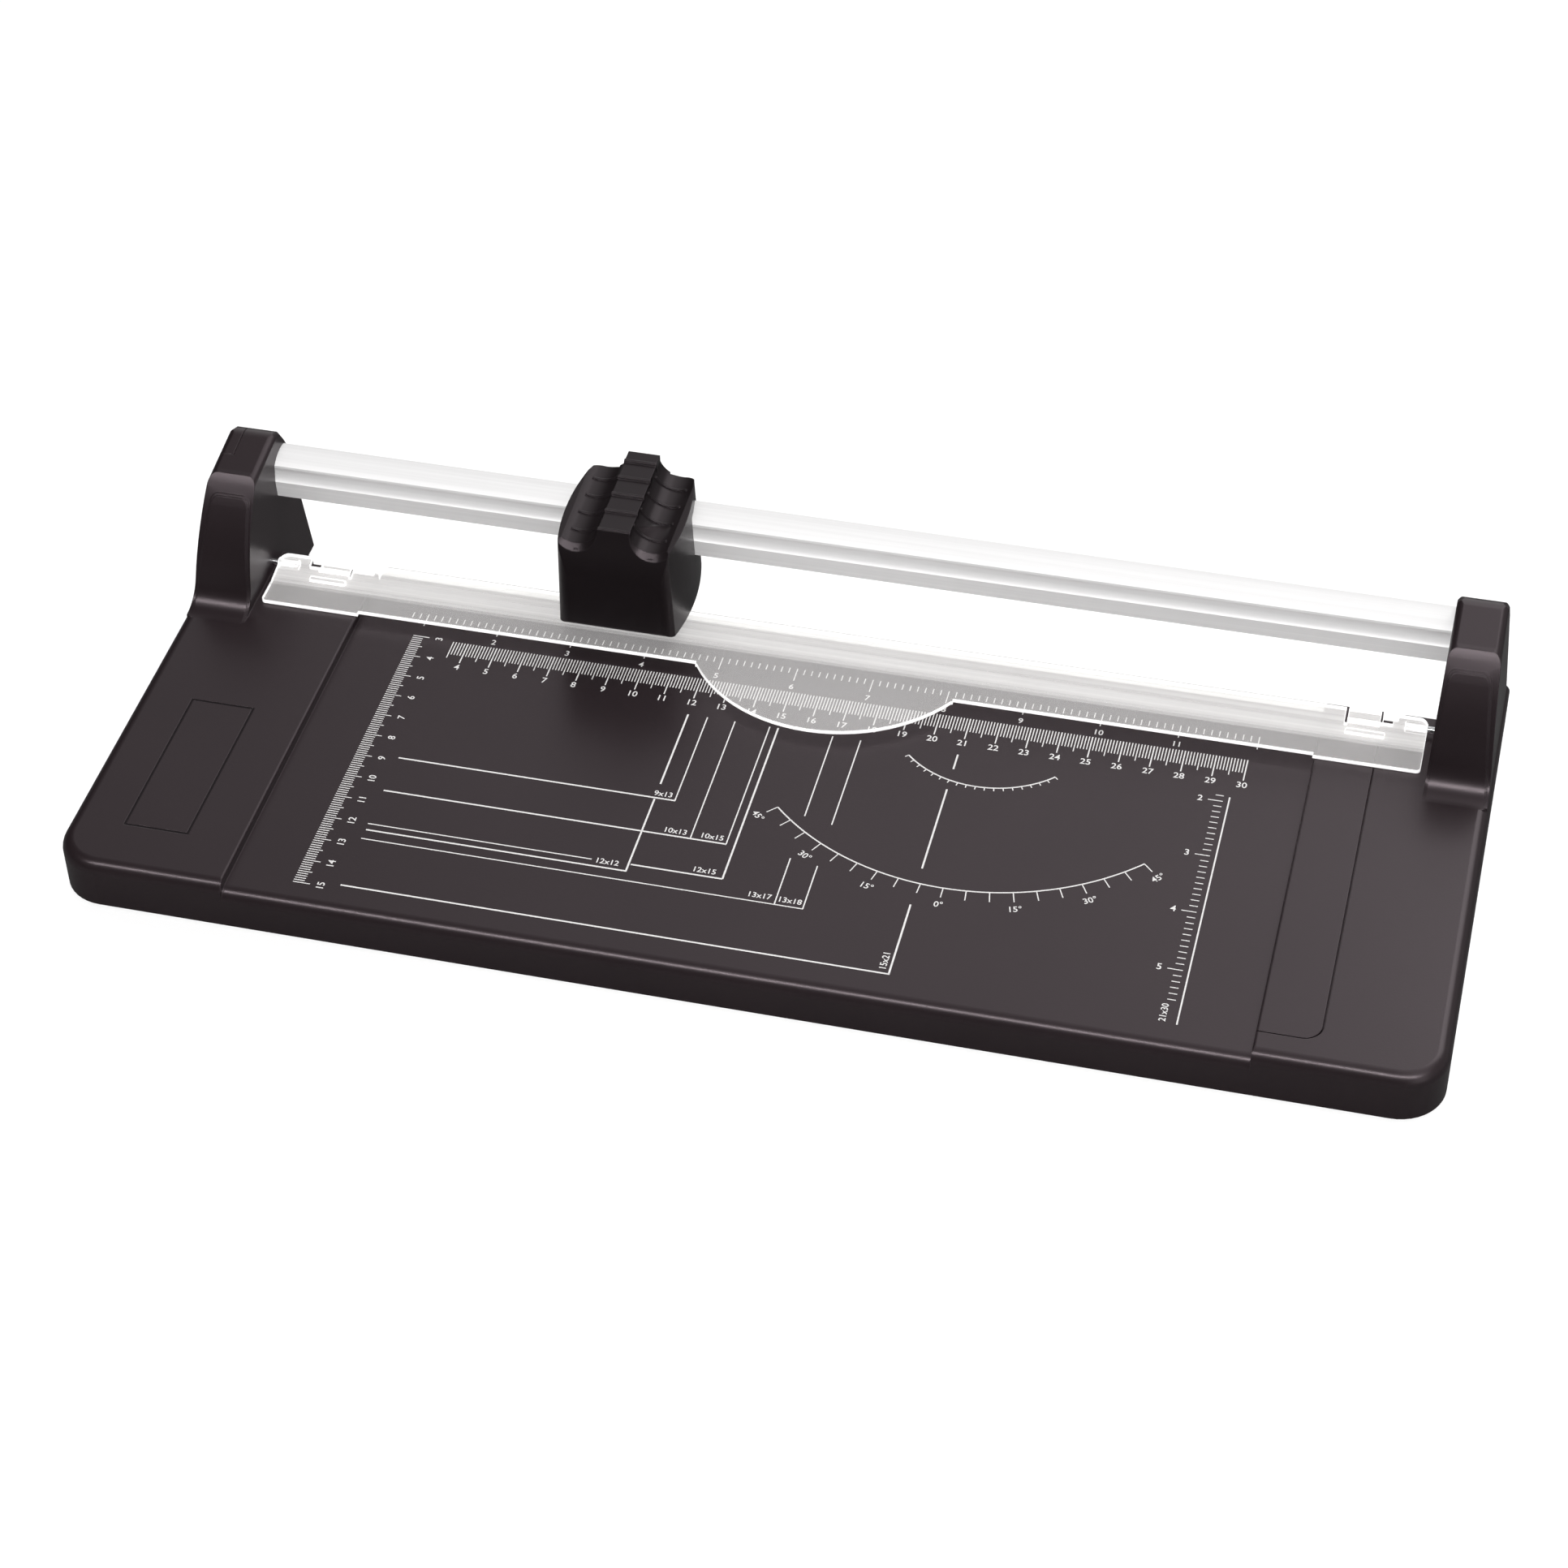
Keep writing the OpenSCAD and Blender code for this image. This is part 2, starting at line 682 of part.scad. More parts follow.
// Moulded base with bed, side panels and the two hollow posts.
module base_shell() {
  color("#4a4547")
    difference() {
      union() {
        difference() {
          union() {
            translate([-bed_half, front + corner_radius, foot_height])
              cube([bed_width, rebate_y - front - corner_radius, bed_top - foot_height]);
            translate([-bed_half, rebate_y - 1, foot_height])
              cube([bed_width, base_rear - rebate_y + 1, ledge_z - foot_height]);
            front_run(-bed_half, bed_half, bed_top);
            both_sides() {
              intersection() {
                panel_block();
                sweep_x(0, half + 1)
                  polygon([[front - 1, 0], [rear, 0], rear_top, [front - 1, 60]]);
              }
              post_body();
              post_pad();
            }
          }
          base_hollow();
          both_sides()
            post_hollow();
        }
        base_ribs();
        foot_bosses();
        both_sides() {
          // Seat under the end of the rail
          intersection() {
            post_body();
            translate([post_in + 1, rail_front - 2, seat_low])
              cube([post_width, rail_depth + 5, seat_height]);
          }
          cover_boss(cut_y - 18);
          cover_boss(cut_y + 14);
          // Seats for the fence pegs and the pivot
          translate([bed_half + fence_width / 2, front + 30, foot_height + 3])
            cylinder(h = ledge_z - foot_height - 2.5, r = peg_radius + 2);
          translate([bed_half + fence_width / 2, cut_y - 30, foot_height + 3])
            cylinder(h = ledge_z - foot_height - 2.5, r = peg_radius + 2);
        }
      }
      // Pocket of the fence plate
      translate([0, 0, ledge_z + mat_thick])
        linear_extrude(10)
          fence_plan(0);
      for (y = [front + 30, cut_y - 30])
        translate([bed_half + fence_width / 2, y, -1])
          cylinder(h = 30, r = peg_radius + turn_gap);
      // Groove of the cutting strip
      translate([-bed_half - 5, cut_y - mat_key / 2 - seat_gap, ledge_z - mat_key_depth - seat_gap])
        cube([bed_width + 10, mat_key + 2 * seat_gap, 5]);
      // Recesses of the rubber feet
      for (p = foot_spots)
        translate([p[0], p[1], foot_height - 1])
          cylinder(h = 2, r = foot_radius + seat_gap);
      both_sides() {
        // Rail windows
        sweep_x(post_in - 3, rail_half + seat_gap)
          rail_outline(seat_gap);
        // Pivot holes
        rod_x(pivot[0], pivot[1], post_in - 2, post_in + 2.1, pivot_radius + turn_gap);
        // Screw holes under the rail
        translate([plug_x, rail_mid, seat_low - 5])
          cylinder(h = 12, r = screw_radius + turn_gap);
        for (y = [cut_y - 18, cut_y + 14])
          translate([post_in + 10.5, y, 0])
            cylinder(h = foot_height + 8.6, r = screw_radius);
        // Seat of the post cover
        post_cover_plate(-seat_gap);
      }
      lock_recess(0);
      frame_groove();
    }
}

// Plan of the fence plate, widened by the joint when gap is 0.
module fence_plan(gap) {
  arc_outline(
    [
      [bed_half - (gap > 0 ? 0 : 3), front + fence_inset + gap],
      [bed_half + fence_width + fence_joint - gap, front + fence_inset + gap],
      [bed_half + fence_width + fence_joint - gap, panel_rear + (gap > 0 ? 0 : 3)],
      [bed_half - (gap > 0 ? 0 : 3), panel_rear + (gap > 0 ? 0 : 3)]
    ],
    [0, fence_corner - gap, 0, 0]
  );
}

// Plate in the right panel whose inner edge guides the sheet.
module fence_plate() {
  color("#4a4547")
    union() {
      difference() {
        translate([0, 0, bed_top])
          linear_extrude(panel_step)
            fence_plan(fence_joint);
        sweep_y(front - 1, rear + 1)
          difference() {
            translate([bed_half - 1, panel_top - step_radius])
              square([1 + step_radius, step_radius + 1]);
            translate([bed_half + step_radius, panel_top - step_radius])
              circle(step_radius);
          }
      }
      for (y = [front + 30, cut_y - 30])
        translate([bed_half + fence_width / 2, y, bed_top - 8])
          cylinder(h = 8.5, r = peg_radius);
    }
}

// Light strip under the cut line.
module cutting_strip() {
  color("#d8d8d4")
    union() {
      translate([mat_end_gap - bed_half, rebate_y + seat_gap, ledge_z])
        cube([bed_width - 2 * mat_end_gap, mat_width - seat_gap, mat_thick]);
      translate([mat_end_gap - bed_half, cut_y - mat_key / 2, ledge_z - mat_key_depth])
        cube([bed_width - 2 * mat_end_gap, mat_key, mat_key_depth + 0.5]);
    }
}

// Round feet let into the underside.
module rubber_feet() {
  color("#202020")
    for (p = foot_spots)
      translate([p[0], p[1], 0])
        difference() {
          rotate_extrude()
            arc_outline(
              [[0, 0], [foot_radius, 0], [foot_radius, foot_height + 1], [0, foot_height + 1]],
              [0, 0.5, 0, 0]
            );
          translate([0, 0, -1])
            cylinder(h = 1.6, r = foot_radius * 0.45);
        }
}

// Cross-section of the guide rail, grown by gap.
module rail_outline(gap) {
  intersection() {
    polygon([
      [rail_front - gap, rail_low - gap],
      [rail_rear + gap, rail_low - gap],
      [rail_rear + gap, rail_top + 5],
      [rail_front + 1.5 - gap, rail_top + 5],
      [rail_front + 1.5 - gap, rail_top - 2.4],
      [rail_front - gap, ridge_z + 0.6],
      [rail_front - gap, ridge_z - 0.5]
    ]);
    translate(rail_crown)
      circle(crown_radius + gap);
  }
}

// Hollow of the guide rail, shrunk by gap for the plugs.
module rail_hollow(gap) {
  w = rail_wall + gap;
  intersection() {
    polygon([
      [rail_front + w + 0.2, rail_low + w],
      [rail_rear - w, rail_low + w],
      [rail_rear - w, rail_top],
      [rail_front + w + 1.8, rail_top],
      [rail_front + w + 1.8, ridge_z + 0.9],
      [rail_front + w + 0.2, ridge_z - 0.8]
    ]);
    translate(rail_crown)
      circle(crown_radius - w);
  }
}

// Hollow aluminium rail on which the head slides.
module guide_rail() {
  color("#d9dbdd")
    difference() {
      sweep_x(-rail_half, rail_half)
        difference() {
          rail_outline(0);
          rail_hollow(0);
          translate([rail_front - groove_radius + 1.6, rail_low + 9.2])
            circle(groove_radius);
        }
      both_sides()
        translate([plug_x, rail_mid, rail_low - 1])
          cylinder(h = 4, r = screw_radius + turn_gap);
    }
}

// Plugs in both ends of the rail that take the screws.
module rail_plugs() {
  color("#2a2a2c")
    both_sides()
      difference() {
        sweep_x(post_in + 2, rail_half)
          rail_hollow(seat_gap);
        translate([plug_x, rail_mid, rail_low])
          cylinder(h = 9, r = screw_radius);
      }
}

// Pan-head screw along +Z with its head below z.
module screw_up(x, y, z, length) {
  translate([x, y, z - screw_head_height])
    difference() {
      union() {
        cylinder(h = screw_head_height, r = screw_head);
        cylinder(h = screw_head_height + length, r = screw_radius);
      }
      cross_slot();
    }
}

// Cross recess in the head of a screw that lies on z = 0.
module cross_slot() {
  for (a = [0, 90])
    rotate([0, 0, a])
      translate([-screw_head * 0.6, -0.3, -0.1])
        cube([screw_head * 1.2, 0.6, 0.8]);
}

// Screws that hold the rail ends on their seats.
module rail_screws() {
  color("#9a9c9e")
    both_sides()
      screw_up(plug_x, rail_mid, seat_low, 10);
}

// Cap over the locked rail end in the left post.
module rail_lock_cap() {
  color("#262425")
    intersection() {
      mirror([1, 0, 0])
        post_body();
      lock_recess(seat_gap);
    }
}

// Plan and thickness of the cover under the right post.
module post_cover_plate(gap) {
  translate([0, 0, foot_height - 1])
    linear_extrude(3.2)
      arc_outline(
        [
          [post_in + wall + 1 + gap, cut_y - 24 + gap],
          [half - wall - 1 - gap, cut_y - 24 + gap],
          [half - wall - 1 - gap, rear - wall - 1.5 - gap],
          [post_in + wall + 1 + gap, rear - wall - 1.5 - gap]
        ],
        [2, 2, 2, 2]
      );
}

// Cover under the right post.
module post_cover() {
  difference() {
    intersection() {
      post_cover_plate(0);
      translate([0, 0, foot_height])
        cube([half, rear, 2.2]);
    }
    for (y = [cut_y - 18, cut_y + 14])
      translate([post_in + 10.5, y, 0]) {
        cylinder(h = 9, r = screw_radius + turn_gap);
        cylinder(h = foot_height + 1.2, r = screw_head + 0.3);
      }
  }
}

module post_cover_left() {
  color("#2c2a2b")
    mirror([1, 0, 0])
      post_cover();
}

module post_cover_right() {
  color("#2c2a2b")
    post_cover();
}

// Screws of the two post covers.
module post_cover_screws() {
  color("#9a9c9e")
    both_sides()
      for (y = [cut_y - 18, cut_y + 14])
        screw_up(post_in + 10.5, y, foot_height + 1.2, 7);
}

// Cross-section of the clear strip.
module strip_outline() {
  z = strip_low;
  t = strip_thick;
  polygon([
    [cut_y - 60, z],
    [cut_y - 18.3, z],
    [cut_y - 13, z + 1.1],
    [cut_y - 9, z + 1.9],
    [strip_rear, z + 2.5],
    [strip_rear, z + 2.5 + t],
    [cut_y - 9, z + 1.9 + t],
    [cut_y - 13, z + 1.1 + t],
    [cut_y - 18.3, z + t],
    [cut_y - 60, z + t]
  ]);
}

// Plan of the clear strip with finger tab, rear slots and rounded ends.
module strip_plan() {
  difference() {
    union() {
      arc_outline(
        [
          [-strip_half, strip_front],
          [strip_half, strip_front],
          [strip_half, strip_rear],
          [-strip_half, strip_rear]
        ],
        [1.5, 1.5, 3, 3]
      );
      intersection() {
        translate([0, strip_front - tab_reach + tab_radius])
          circle(tab_radius);
        translate([-tab_chord - 1, strip_front - tab_reach - 1])
          square([2 * tab_chord + 2, tab_reach + 6]);
      }
    }
    // Set-back over the bed, left and right of the tab
    for (s = [-1, 1])
      translate([s * (bed_half + tab_chord) / 2, strip_front - 1 + strip_setback / 2])
        square([bed_half - tab_chord - 1, strip_setback + 2], center = true);
    // Slots beside the clips
    for (s = [-1, 1]) {
      translate([s * (clip_x + (clip_width + clip_slot) / 2), strip_rear])
        square([clip_slot, 8], center = true);
      translate([s * (clip_x - clip_width / 2 - 0.4), strip_rear])
        square([0.8, 12], center = true);
    }
    // Wider recess beside the left clip
    translate([-clip_x + clip_width / 2, strip_rear - 3])
      square([2 * clip_slot, 6]);
  }
}

// Clip at the rear edge of the clear strip with two cross ribs and a lip.
module strip_clip() {
  w = clip_width / 2;
  translate([clip_x - w, strip_rear - 1.2, strip_low + 2.4])
    cube([2 * w, 1.2, strip_thick + 0.35]);
  translate([clip_x - w, strip_rear - 6, strip_low + 1.8])
    cube([2 * w, 1.3, strip_thick + 0.6]);
  translate([clip_x - w, strip_rear - 10.4, strip_low + 0.6])
    cube([2 * w + 2, 2, strip_thick + 0.8]);
}

// Clear strip that holds the sheet down.
module clamp_strip() {
  color("#e8eef0", 0.5)
    difference() {
      union() {
        intersection() {
          sweep_x(-strip_half - 1, strip_half + 1)
            strip_outline();
          linear_extrude(60)
            strip_plan();
        }
        both_sides() {
          rod_x(pivot[0], pivot[1], strip_half - 7, strip_half, pivot_radius + 0.6);
          strip_clip();
        }
      }
      both_sides()
        rod_x(pivot[0], pivot[1], strip_half - 5, strip_half + 1, pivot_radius);
    }
}

// Pins on which the clear strip tips.
module clamp_pins() {
  color("#b0b2b4")
    both_sides()
      rod_x(pivot[0], pivot[1], strip_half - 5, post_in + pivot_depth, pivot_radius);
}

// Low-friction sleeve on the rail inside the head.
module glide_sleeve() {
  color("#e6e3da")
    translate([head_x, 0, 0])
      union() {
        sweep_x(-sleeve_half, sleeve_half)
          difference() {
            arc_outline(
              [
                [sleeve_front, sleeve_low],
                [sleeve_rear, sleeve_low],
                [sleeve_rear, sleeve_top],
                [sleeve_front, sleeve_top]
              ],
              [1, 1, 1, 1]
            );
            rail_outline(slide_gap);
          }
        for (y = spring_y)
          translate([0, y, sleeve_top - 0.5])
            cylinder(h = 1.7, r = 1.5);
      }
}

// Side view of the head without its spine.
module head_side() {
  arc_outline(
    [
      [head_front, head_low],
      [head_rear, head_low],
      [head_rear, rim_rear_z],
      [head_front, rim_front_z]
    ],
    [1.5, 1.5, 2.5, 1]
  );
}

// Plan of the head with bulged sides and rounded upright edges.
module head_plan() {
  intersection() {
    arc_outline(
      [
        [-head_half_low, head_front],
        [head_half_low, head_front],
        [head_half_low + 5, head_mid],
        [head_half_low - head_taper, head_rear],
        [head_taper - head_half_low, head_rear],
        [-head_half_low - 5, head_mid]
      ],
      [4.5, 4.5, 0, 5, 5, 0]
    );
    translate([head_half_low + head_bulge - bulge_radius, head_mid - 2.5])
      circle(bulge_radius);
    translate([bulge_radius - head_half_low - head_bulge, head_mid - 2.5])
      circle(bulge_radius);
  }
}

// Upright block with the plan of the head, leaning by angle a.
module leaning_block(a) {
  translate([0, 0, head_low])
    rotate([0, a, 0])
      translate([0, 0, -2])
        linear_extrude(60)
          head_plan();
}

// Side view of all that lies behind the bowed front face.
module bow_outline() {
  translate([head_front + bow_radius, bow_start])
    circle(bow_radius);
  translate([head_front, 0])
    square([60, bow_start]);
  translate([head_front + bow_radius / 2, 0])
    square([60, 80]);
}

// Shoulder beside the spine into which the scoops run.
module spine_root() {
  z1 = spine_z - 0.6;
  z2 = spine_z + 4 * step_rise - 0.2;
  sweep_x(-8.6, 8.6)
    polygon([
      [head_front + 0.1, rim_front_z - 4],
      [head_rear, rim_front_z - 4],
      [head_rear, z2],
      [spine_y + 0.6, z1],
      [head_front + 0.1, z1]
    ]);
}

// Stepped spine with a lip at the front of each step.
module spine() {
  z0 = rim_front_z - 3;
  for (k = [0:4])
    let (
      y0 = k == 0 ? spine_y : spine_y + 9 + (k - 1) * step_pitch,
      y1 = k == 4 ? head_rear : spine_y + 9 + k * step_pitch,
      z = spine_z + k * step_rise,
      w = spine_width / 2
    ) {
      sweep_x(-w, w)
        polygon([[y0, z0], [y1, z0], [y1, z + 0.1], [y0, z]]);
      sweep_x(-w - 0.2, w + 0.2)
        polygon([
          [y0 - 0.1, z0],
          [y0 + 1.1, z0],
          [y0 + 1.1, z + 0.18],
          [y0 + 0.5, z + 0.18],
          [y0 - 0.1, z - 0.42]
        ]);
    }
  sweep_x(-spine_width / 2, spine_width / 2)
    polygon([
      [head_front + 0.2, z0],
      [spine_y + 0.2, z0],
      [spine_y + 0.2, spine_z - 0.1],
      [head_front + 0.2, spine_z - 0.1]
    ]);
}

// Runs its children along the tilted line of the scoops.
module along_scoops() {
  for (s = [-1, 1])
    translate([s * scoop_offset, head_front, scoop_top])
      rotate([scoop_tilt - 90, 0, 0])
        children();
}

// Inner space of the head, open at the bottom and the rear.
module head_hollow() {
  intersection() {
    union() {
      translate([-30, head_inner, 0])
        cube([60, cut_y - 2 - head_inner, scoop_z - 1.9]);
      translate([-30, cut_y - 4, 0])
        cube([60, cover_y - cut_y + 4, tunnel_top]);
    }
    sweep_y(head_front, head_rear + 1)
      polygon([
        [head_wall - head_half_low, head_low - 1],
        [head_half_low - head_wall, head_low - 1],
        [head_half_top - head_wall, rim_rear_z],
        [head_wall - head_half_top, rim_rear_z]
      ]);
    linear_extrude(80)
      arc_outline(
        [
          [head_wall - head_half_low, head_inner],
          [head_half_low - head_wall, head_inner],
          [head_half_low - head_wall - head_taper, head_rear + 1],
          [head_wall - head_half_low + head_taper, head_rear + 1]
        ],
        [2, 2, 0, 0]
      );
  }
}

// Opening in the rear of the head that takes the cover, grown by gap.
module cover_opening(gap) {
  sweep_y(cover_y, head_rear + (gap > 0 ? 1 : 0))
    arc_outline(
      [
        [-15 - gap, head_low - (gap > 0 ? 1 : 0)],
        [15 + gap, head_low - (gap > 0 ? 1 : 0)],
        [14.6 + gap, tunnel_top - 0.4 + gap],
        [-14.6 - gap, tunnel_top - 0.4 + gap]
      ],
      [0, 0, 2, 2]
    );
}

// Outer form of the head with scoops, spine and grip arcs.
module head_form() {
  intersection() {
    union() {
      difference() {
        intersection() {
          union() {
            sweep_x(-30, 30)
              head_side();
            spine_root();
          }
          leaning_block(draft_angle);
          leaning_block(-draft_angle);
        }
        // Finger scoops with a flared lip at the front
        along_scoops()
          translate([0, 0, -2])
            cylinder(h = 60, r = scoop_radius);
        along_scoops()
          cylinder(h = 3.2, r1 = scoop_radius + 2.2, r2 = scoop_radius);
      }
      spine();
      // Grip arcs
      intersection() {
        along_scoops()
          for (k = [0:3])
            translate([0, 0, 8.6 + k * arc_pitch])
              difference() {
                cylinder(h = arc_thick, r = scoop_radius + 0.3);
                translate([0, 0, -1])
                  cylinder(h = arc_thick + 2, r = scoop_radius - arc_raise);
              }
        translate([-15.9, head_front, scoop_z - 1])
          cube([31.8, head_rear - head_front, 7.5]);
      }
    }
    sweep_x(-30, 30)
      bow_outline();
  }
}

// Moulded housing of the cutter head.
module head_housing() {
  color("#1c1a1b")
    translate([head_x, 0, 0])
      difference() {
        head_form();
        head_hollow();
        cover_opening(seat_gap);
        // Side windows for the rail
        sweep_x(-30, 30)
          arc_outline(
            [
              [rail_front - 0.6, rail_low - 0.5],
              [rail_rear + 0.6, rail_low - 0.5],
              [rail_rear + 0.6, rail_top + press_travel + 0.4],
              [rail_front - 0.6, rail_top + press_travel + 0.4]
            ],
            [0.8, 0.8, 0.8, 0.8]
          );
        // Spring pockets under the spine
        for (y = spring_y)
          translate([0, y, tunnel_top - 1])
            cylinder(h = pocket_top - tunnel_top + 1, r = spring_radius + 0.4);
      }
  color("#1c1a1b")
    translate([head_x, 0, 0])
      head_bosses();
}

// Bosses inside the head for its screws, with guide ribs for the sleeve.
module head_bosses() {
  difference() {
    union() {
      for (s = [-1, 1]) {
        rod_y(s * carrier_screw[0], carrier_screw[1], head_front + 1, carrier_front, 2.6);
        translate([s * carrier_screw[0] - rib / 2, head_inner - 0.6, carrier_screw[1]])
          cube([rib, carrier_front - head_inner - 1.4, scoop_z - 1 - carrier_screw[1]]);
        rod_y(s * cover_screw[0], cover_screw[1], cover_y - 8, cover_y, 2.6);
        translate([s * (cover_screw[0] + 2.5) - 2.5, cover_y - 8, cover_screw[1] - 2])
          cube([5, 7, 4]);
        // Guide ribs in front of the sleeve
        translate([s * 13.6 - 1.4, sleeve_front - guide_gap - 0.9, blade_z + blade_radius + 1.2])
          cube([2.8, 0.9, tunnel_top - blade_z - blade_radius - 0.7]);
      }
    }
    for (s = [-1, 1]) {
      rod_y(s * carrier_screw[0], carrier_screw[1], carrier_front - 8, carrier_front + 1, screw_radius);
      rod_y(s * cover_screw[0], cover_screw[1], cover_y - 7, cover_y + 1, screw_radius);
    }
  }
}

// Cover in the rear of the head.
module head_back_cover() {
  color("#1c1a1b")
    translate([head_x, 0, 0])
      difference() {
        cover_opening(0);
        for (s = [-1, 1]) {
          rod_y(s * cover_screw[0], cover_screw[1], cover_y - 1, head_rear + 1, screw_radius + turn_gap);
          rod_y(s * cover_screw[0], cover_screw[1], head_rear - 1, head_rear + 1, screw_head + 0.3);
        }
      }
}

// Pan-head screw along -Y whose head rests on the face at y.
module screw_back(x, z, y, length) {
  translate([x, y, z])
    rotate([90, 0, 0])
      difference() {
        union() {
          translate([0, 0, -screw_head_height])
            cylinder(h = screw_head_height, r = screw_head);
          translate([0, 0, -screw_head_height])
            cylinder(h = screw_head_height + length, r = screw_radius);
        }
        translate([0, 0, -screw_head_height])
          cross_slot();
      }
}

// Screws of the rear cover.
module head_screws() {
  color("#8c8e90")
    for (s = [-1, 1])
      screw_back(head_x + s * cover_screw[0], cover_screw[1], head_rear - 1, 7);
}

// Compression springs that lift the head again.
module press_springs() {
  tall = pocket_top - sleeve_top;
  color("#b8babc")
    for (y = spring_y)
      translate([head_x, y, sleeve_top]) {
        difference() {
          cylinder(h = 0.6, r = spring_radius);
          translate([0, 0, -1])
            cylinder(h = 3, r = spring_radius - 0.6);
        }
        translate([0, 0, 0.3])
          linear_extrude(tall - 0.6, twist = -1440, slices = 64, $fn = 8)
            intersection() {
              difference() {
                circle(spring_radius, $fn = 12);
                circle(spring_radius - 0.6, $fn = 12);
              }
              polygon([[0, 0], [9, 0], [9, 9], [-3, 9]]);
            }
        translate([0, 0, tall - 0.6])
          difference() {
            cylinder(h = 0.6, r = spring_radius);
            translate([0, 0, -1])
              cylinder(h = 3, r = spring_radius - 0.6);
          }
      }
}

// Carrier plate that holds the blade axle in the head.
module blade_carrier() {
  low = panel_top + press_travel + 1;
  high = carrier_screw[1] + 3.4;
  color("#3a3c3e")
    translate([head_x, 0, 0])
      difference() {
        union() {
          sweep_y(carrier_front, carrier_rear)
            arc_outline(
              [
                [-9, low],
                [9, low],
                [carrier_half, blade_z - 3],
                [carrier_half, high],
                [-carrier_half, high],
                [-carrier_half, blade_z - 3]
              ],
              [4, 4, 3, 2.5, 2.5, 3]
            );
          rod_y(0, blade_z, carrier_front - 3, washer_front, 4.5);
          for (s = [-1, 1])
            translate([s * 9 - 0.7, carrier_front - 2.4, blade_z + 2])
              cube([1.4, 3, high - blade_z - 3]);
        }
        rod_y(0, blade_z, carrier_front - 4, washer_front + 1, axle_radius);
        for (s = [-1, 1])
          rod_y(
            s * carrier_screw[0],
            carrier_screw[1],
            carrier_front - 1,
            carrier_rear + 1,
            screw_radius + turn_gap
          );
      }
}

// Screws of the blade carrier.
module carrier_screws() {
  color("#8c8e90")
    for (s = [-1, 1])
      screw_back(head_x + s * carrier_screw[0], carrier_screw[1], carrier_rear, 7);
}

// Axle with a head in front and a groove for the clip behind the blade.
module blade_axle() {
  color("#c2c4c6")
    translate([head_x, carrier_front - 4.4, blade_z])
      rotate([-90, 0, 0])
        rotate_extrude()
          polygon([
            [0, 0],
            [3.4, 0],
            [3.4, 1.4],
            [axle_radius, 1.4],
            [axle_radius, clip_front - carrier_front + 4.4],
            [axle_radius - 0.5, clip_front - carrier_front + 4.4],
            [axle_radius - 0.5, clip_rear - carrier_front + 4.4],
            [axle_radius, clip_rear - carrier_front + 4.4],
            [axle_radius, clip_rear - carrier_front + 5.0],
            [axle_radius - 0.4, clip_rear - carrier_front + 5.4],
            [0, clip_rear - carrier_front + 5.4]
          ]);
}

// Spacer between carrier and blade.
module blade_washer() {
  color("#c9a54e")
    difference() {
      rod_y(head_x, blade_z, washer_front, washer_rear, 4.2);
      rod_y(head_x, blade_z, washer_front - 1, washer_rear + 1, axle_radius);
    }
}

// Round blade with a ground edge.
module rotary_blade() {
  b = blade_thick / 2;
  color("#d0d3d6")
    translate([head_x, cut_y, blade_z])
      rotate([-90, 0, 0])
        difference() {
          rotate_extrude()
            polygon([
              [axle_radius + turn_gap, -b],
              [blade_radius - 2, -b],
              [blade_radius, -0.04],
              [blade_radius, 0.04],
              [blade_radius - 2, b],
              [axle_radius + turn_gap, b]
            ]);
          for (a = [0, 120, 240])
            rotate([0, 0, a])
              translate([7, 0, -2])
                cylinder(h = 4, r = 1.3);
        }
}

// Open ring that keeps the blade on its axle.
module blade_clip() {
  color("#8c8e90")
    translate([head_x, 0, 0])
      difference() {
        rod_y(0, blade_z, clip_front, clip_rear, axle_radius + 1.2);
        rod_y(0, blade_z, clip_front - 1, clip_rear + 1, axle_radius - 0.5);
        translate([-axle_radius * 0.6, clip_front - 1, blade_z - 9])
          cube([axle_radius * 1.2, 3, 9]);
      }
}

base_shell();
fence_plate();
cutting_strip();
rubber_feet();
guide_rail();
rail_plugs();
rail_screws();
rail_lock_cap();
post_cover_left();
post_cover_right();
post_cover_screws();
clamp_strip();
clamp_pins();
glide_sleeve();
head_housing();
head_back_cover();
head_screws();
press_springs();
blade_carrier();
carrier_screws();
blade_axle();
blade_washer();
rotary_blade();
blade_clip();
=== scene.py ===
import math

import bmesh
import bpy
from mathutils import Matrix, Vector


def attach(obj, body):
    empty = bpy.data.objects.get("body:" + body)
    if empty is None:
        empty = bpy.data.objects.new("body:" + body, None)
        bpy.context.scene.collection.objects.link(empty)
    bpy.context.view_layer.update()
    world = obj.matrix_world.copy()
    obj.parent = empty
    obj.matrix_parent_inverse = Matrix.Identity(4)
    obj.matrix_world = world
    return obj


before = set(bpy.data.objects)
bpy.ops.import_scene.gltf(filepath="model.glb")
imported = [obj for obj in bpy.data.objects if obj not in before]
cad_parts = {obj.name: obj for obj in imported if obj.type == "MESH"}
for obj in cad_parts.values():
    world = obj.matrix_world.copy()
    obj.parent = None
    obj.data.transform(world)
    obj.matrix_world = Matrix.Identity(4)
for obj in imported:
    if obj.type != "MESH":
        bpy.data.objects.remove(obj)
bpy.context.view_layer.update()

# Places on the model, in metres
BED_TOP = 0.015
CUT_Y = 0.068
RULER_ZERO_X = -0.1605
STRIP_SLOPE_Y = 0.0495
FRAME_MIDDLE = (-0.18825, -0.0418)
FRAME_REACH = (0.01075, 0.0305)
FRAME_GROOVE = (-0.00063, 0.00003)
INK_RISE = 0.00003

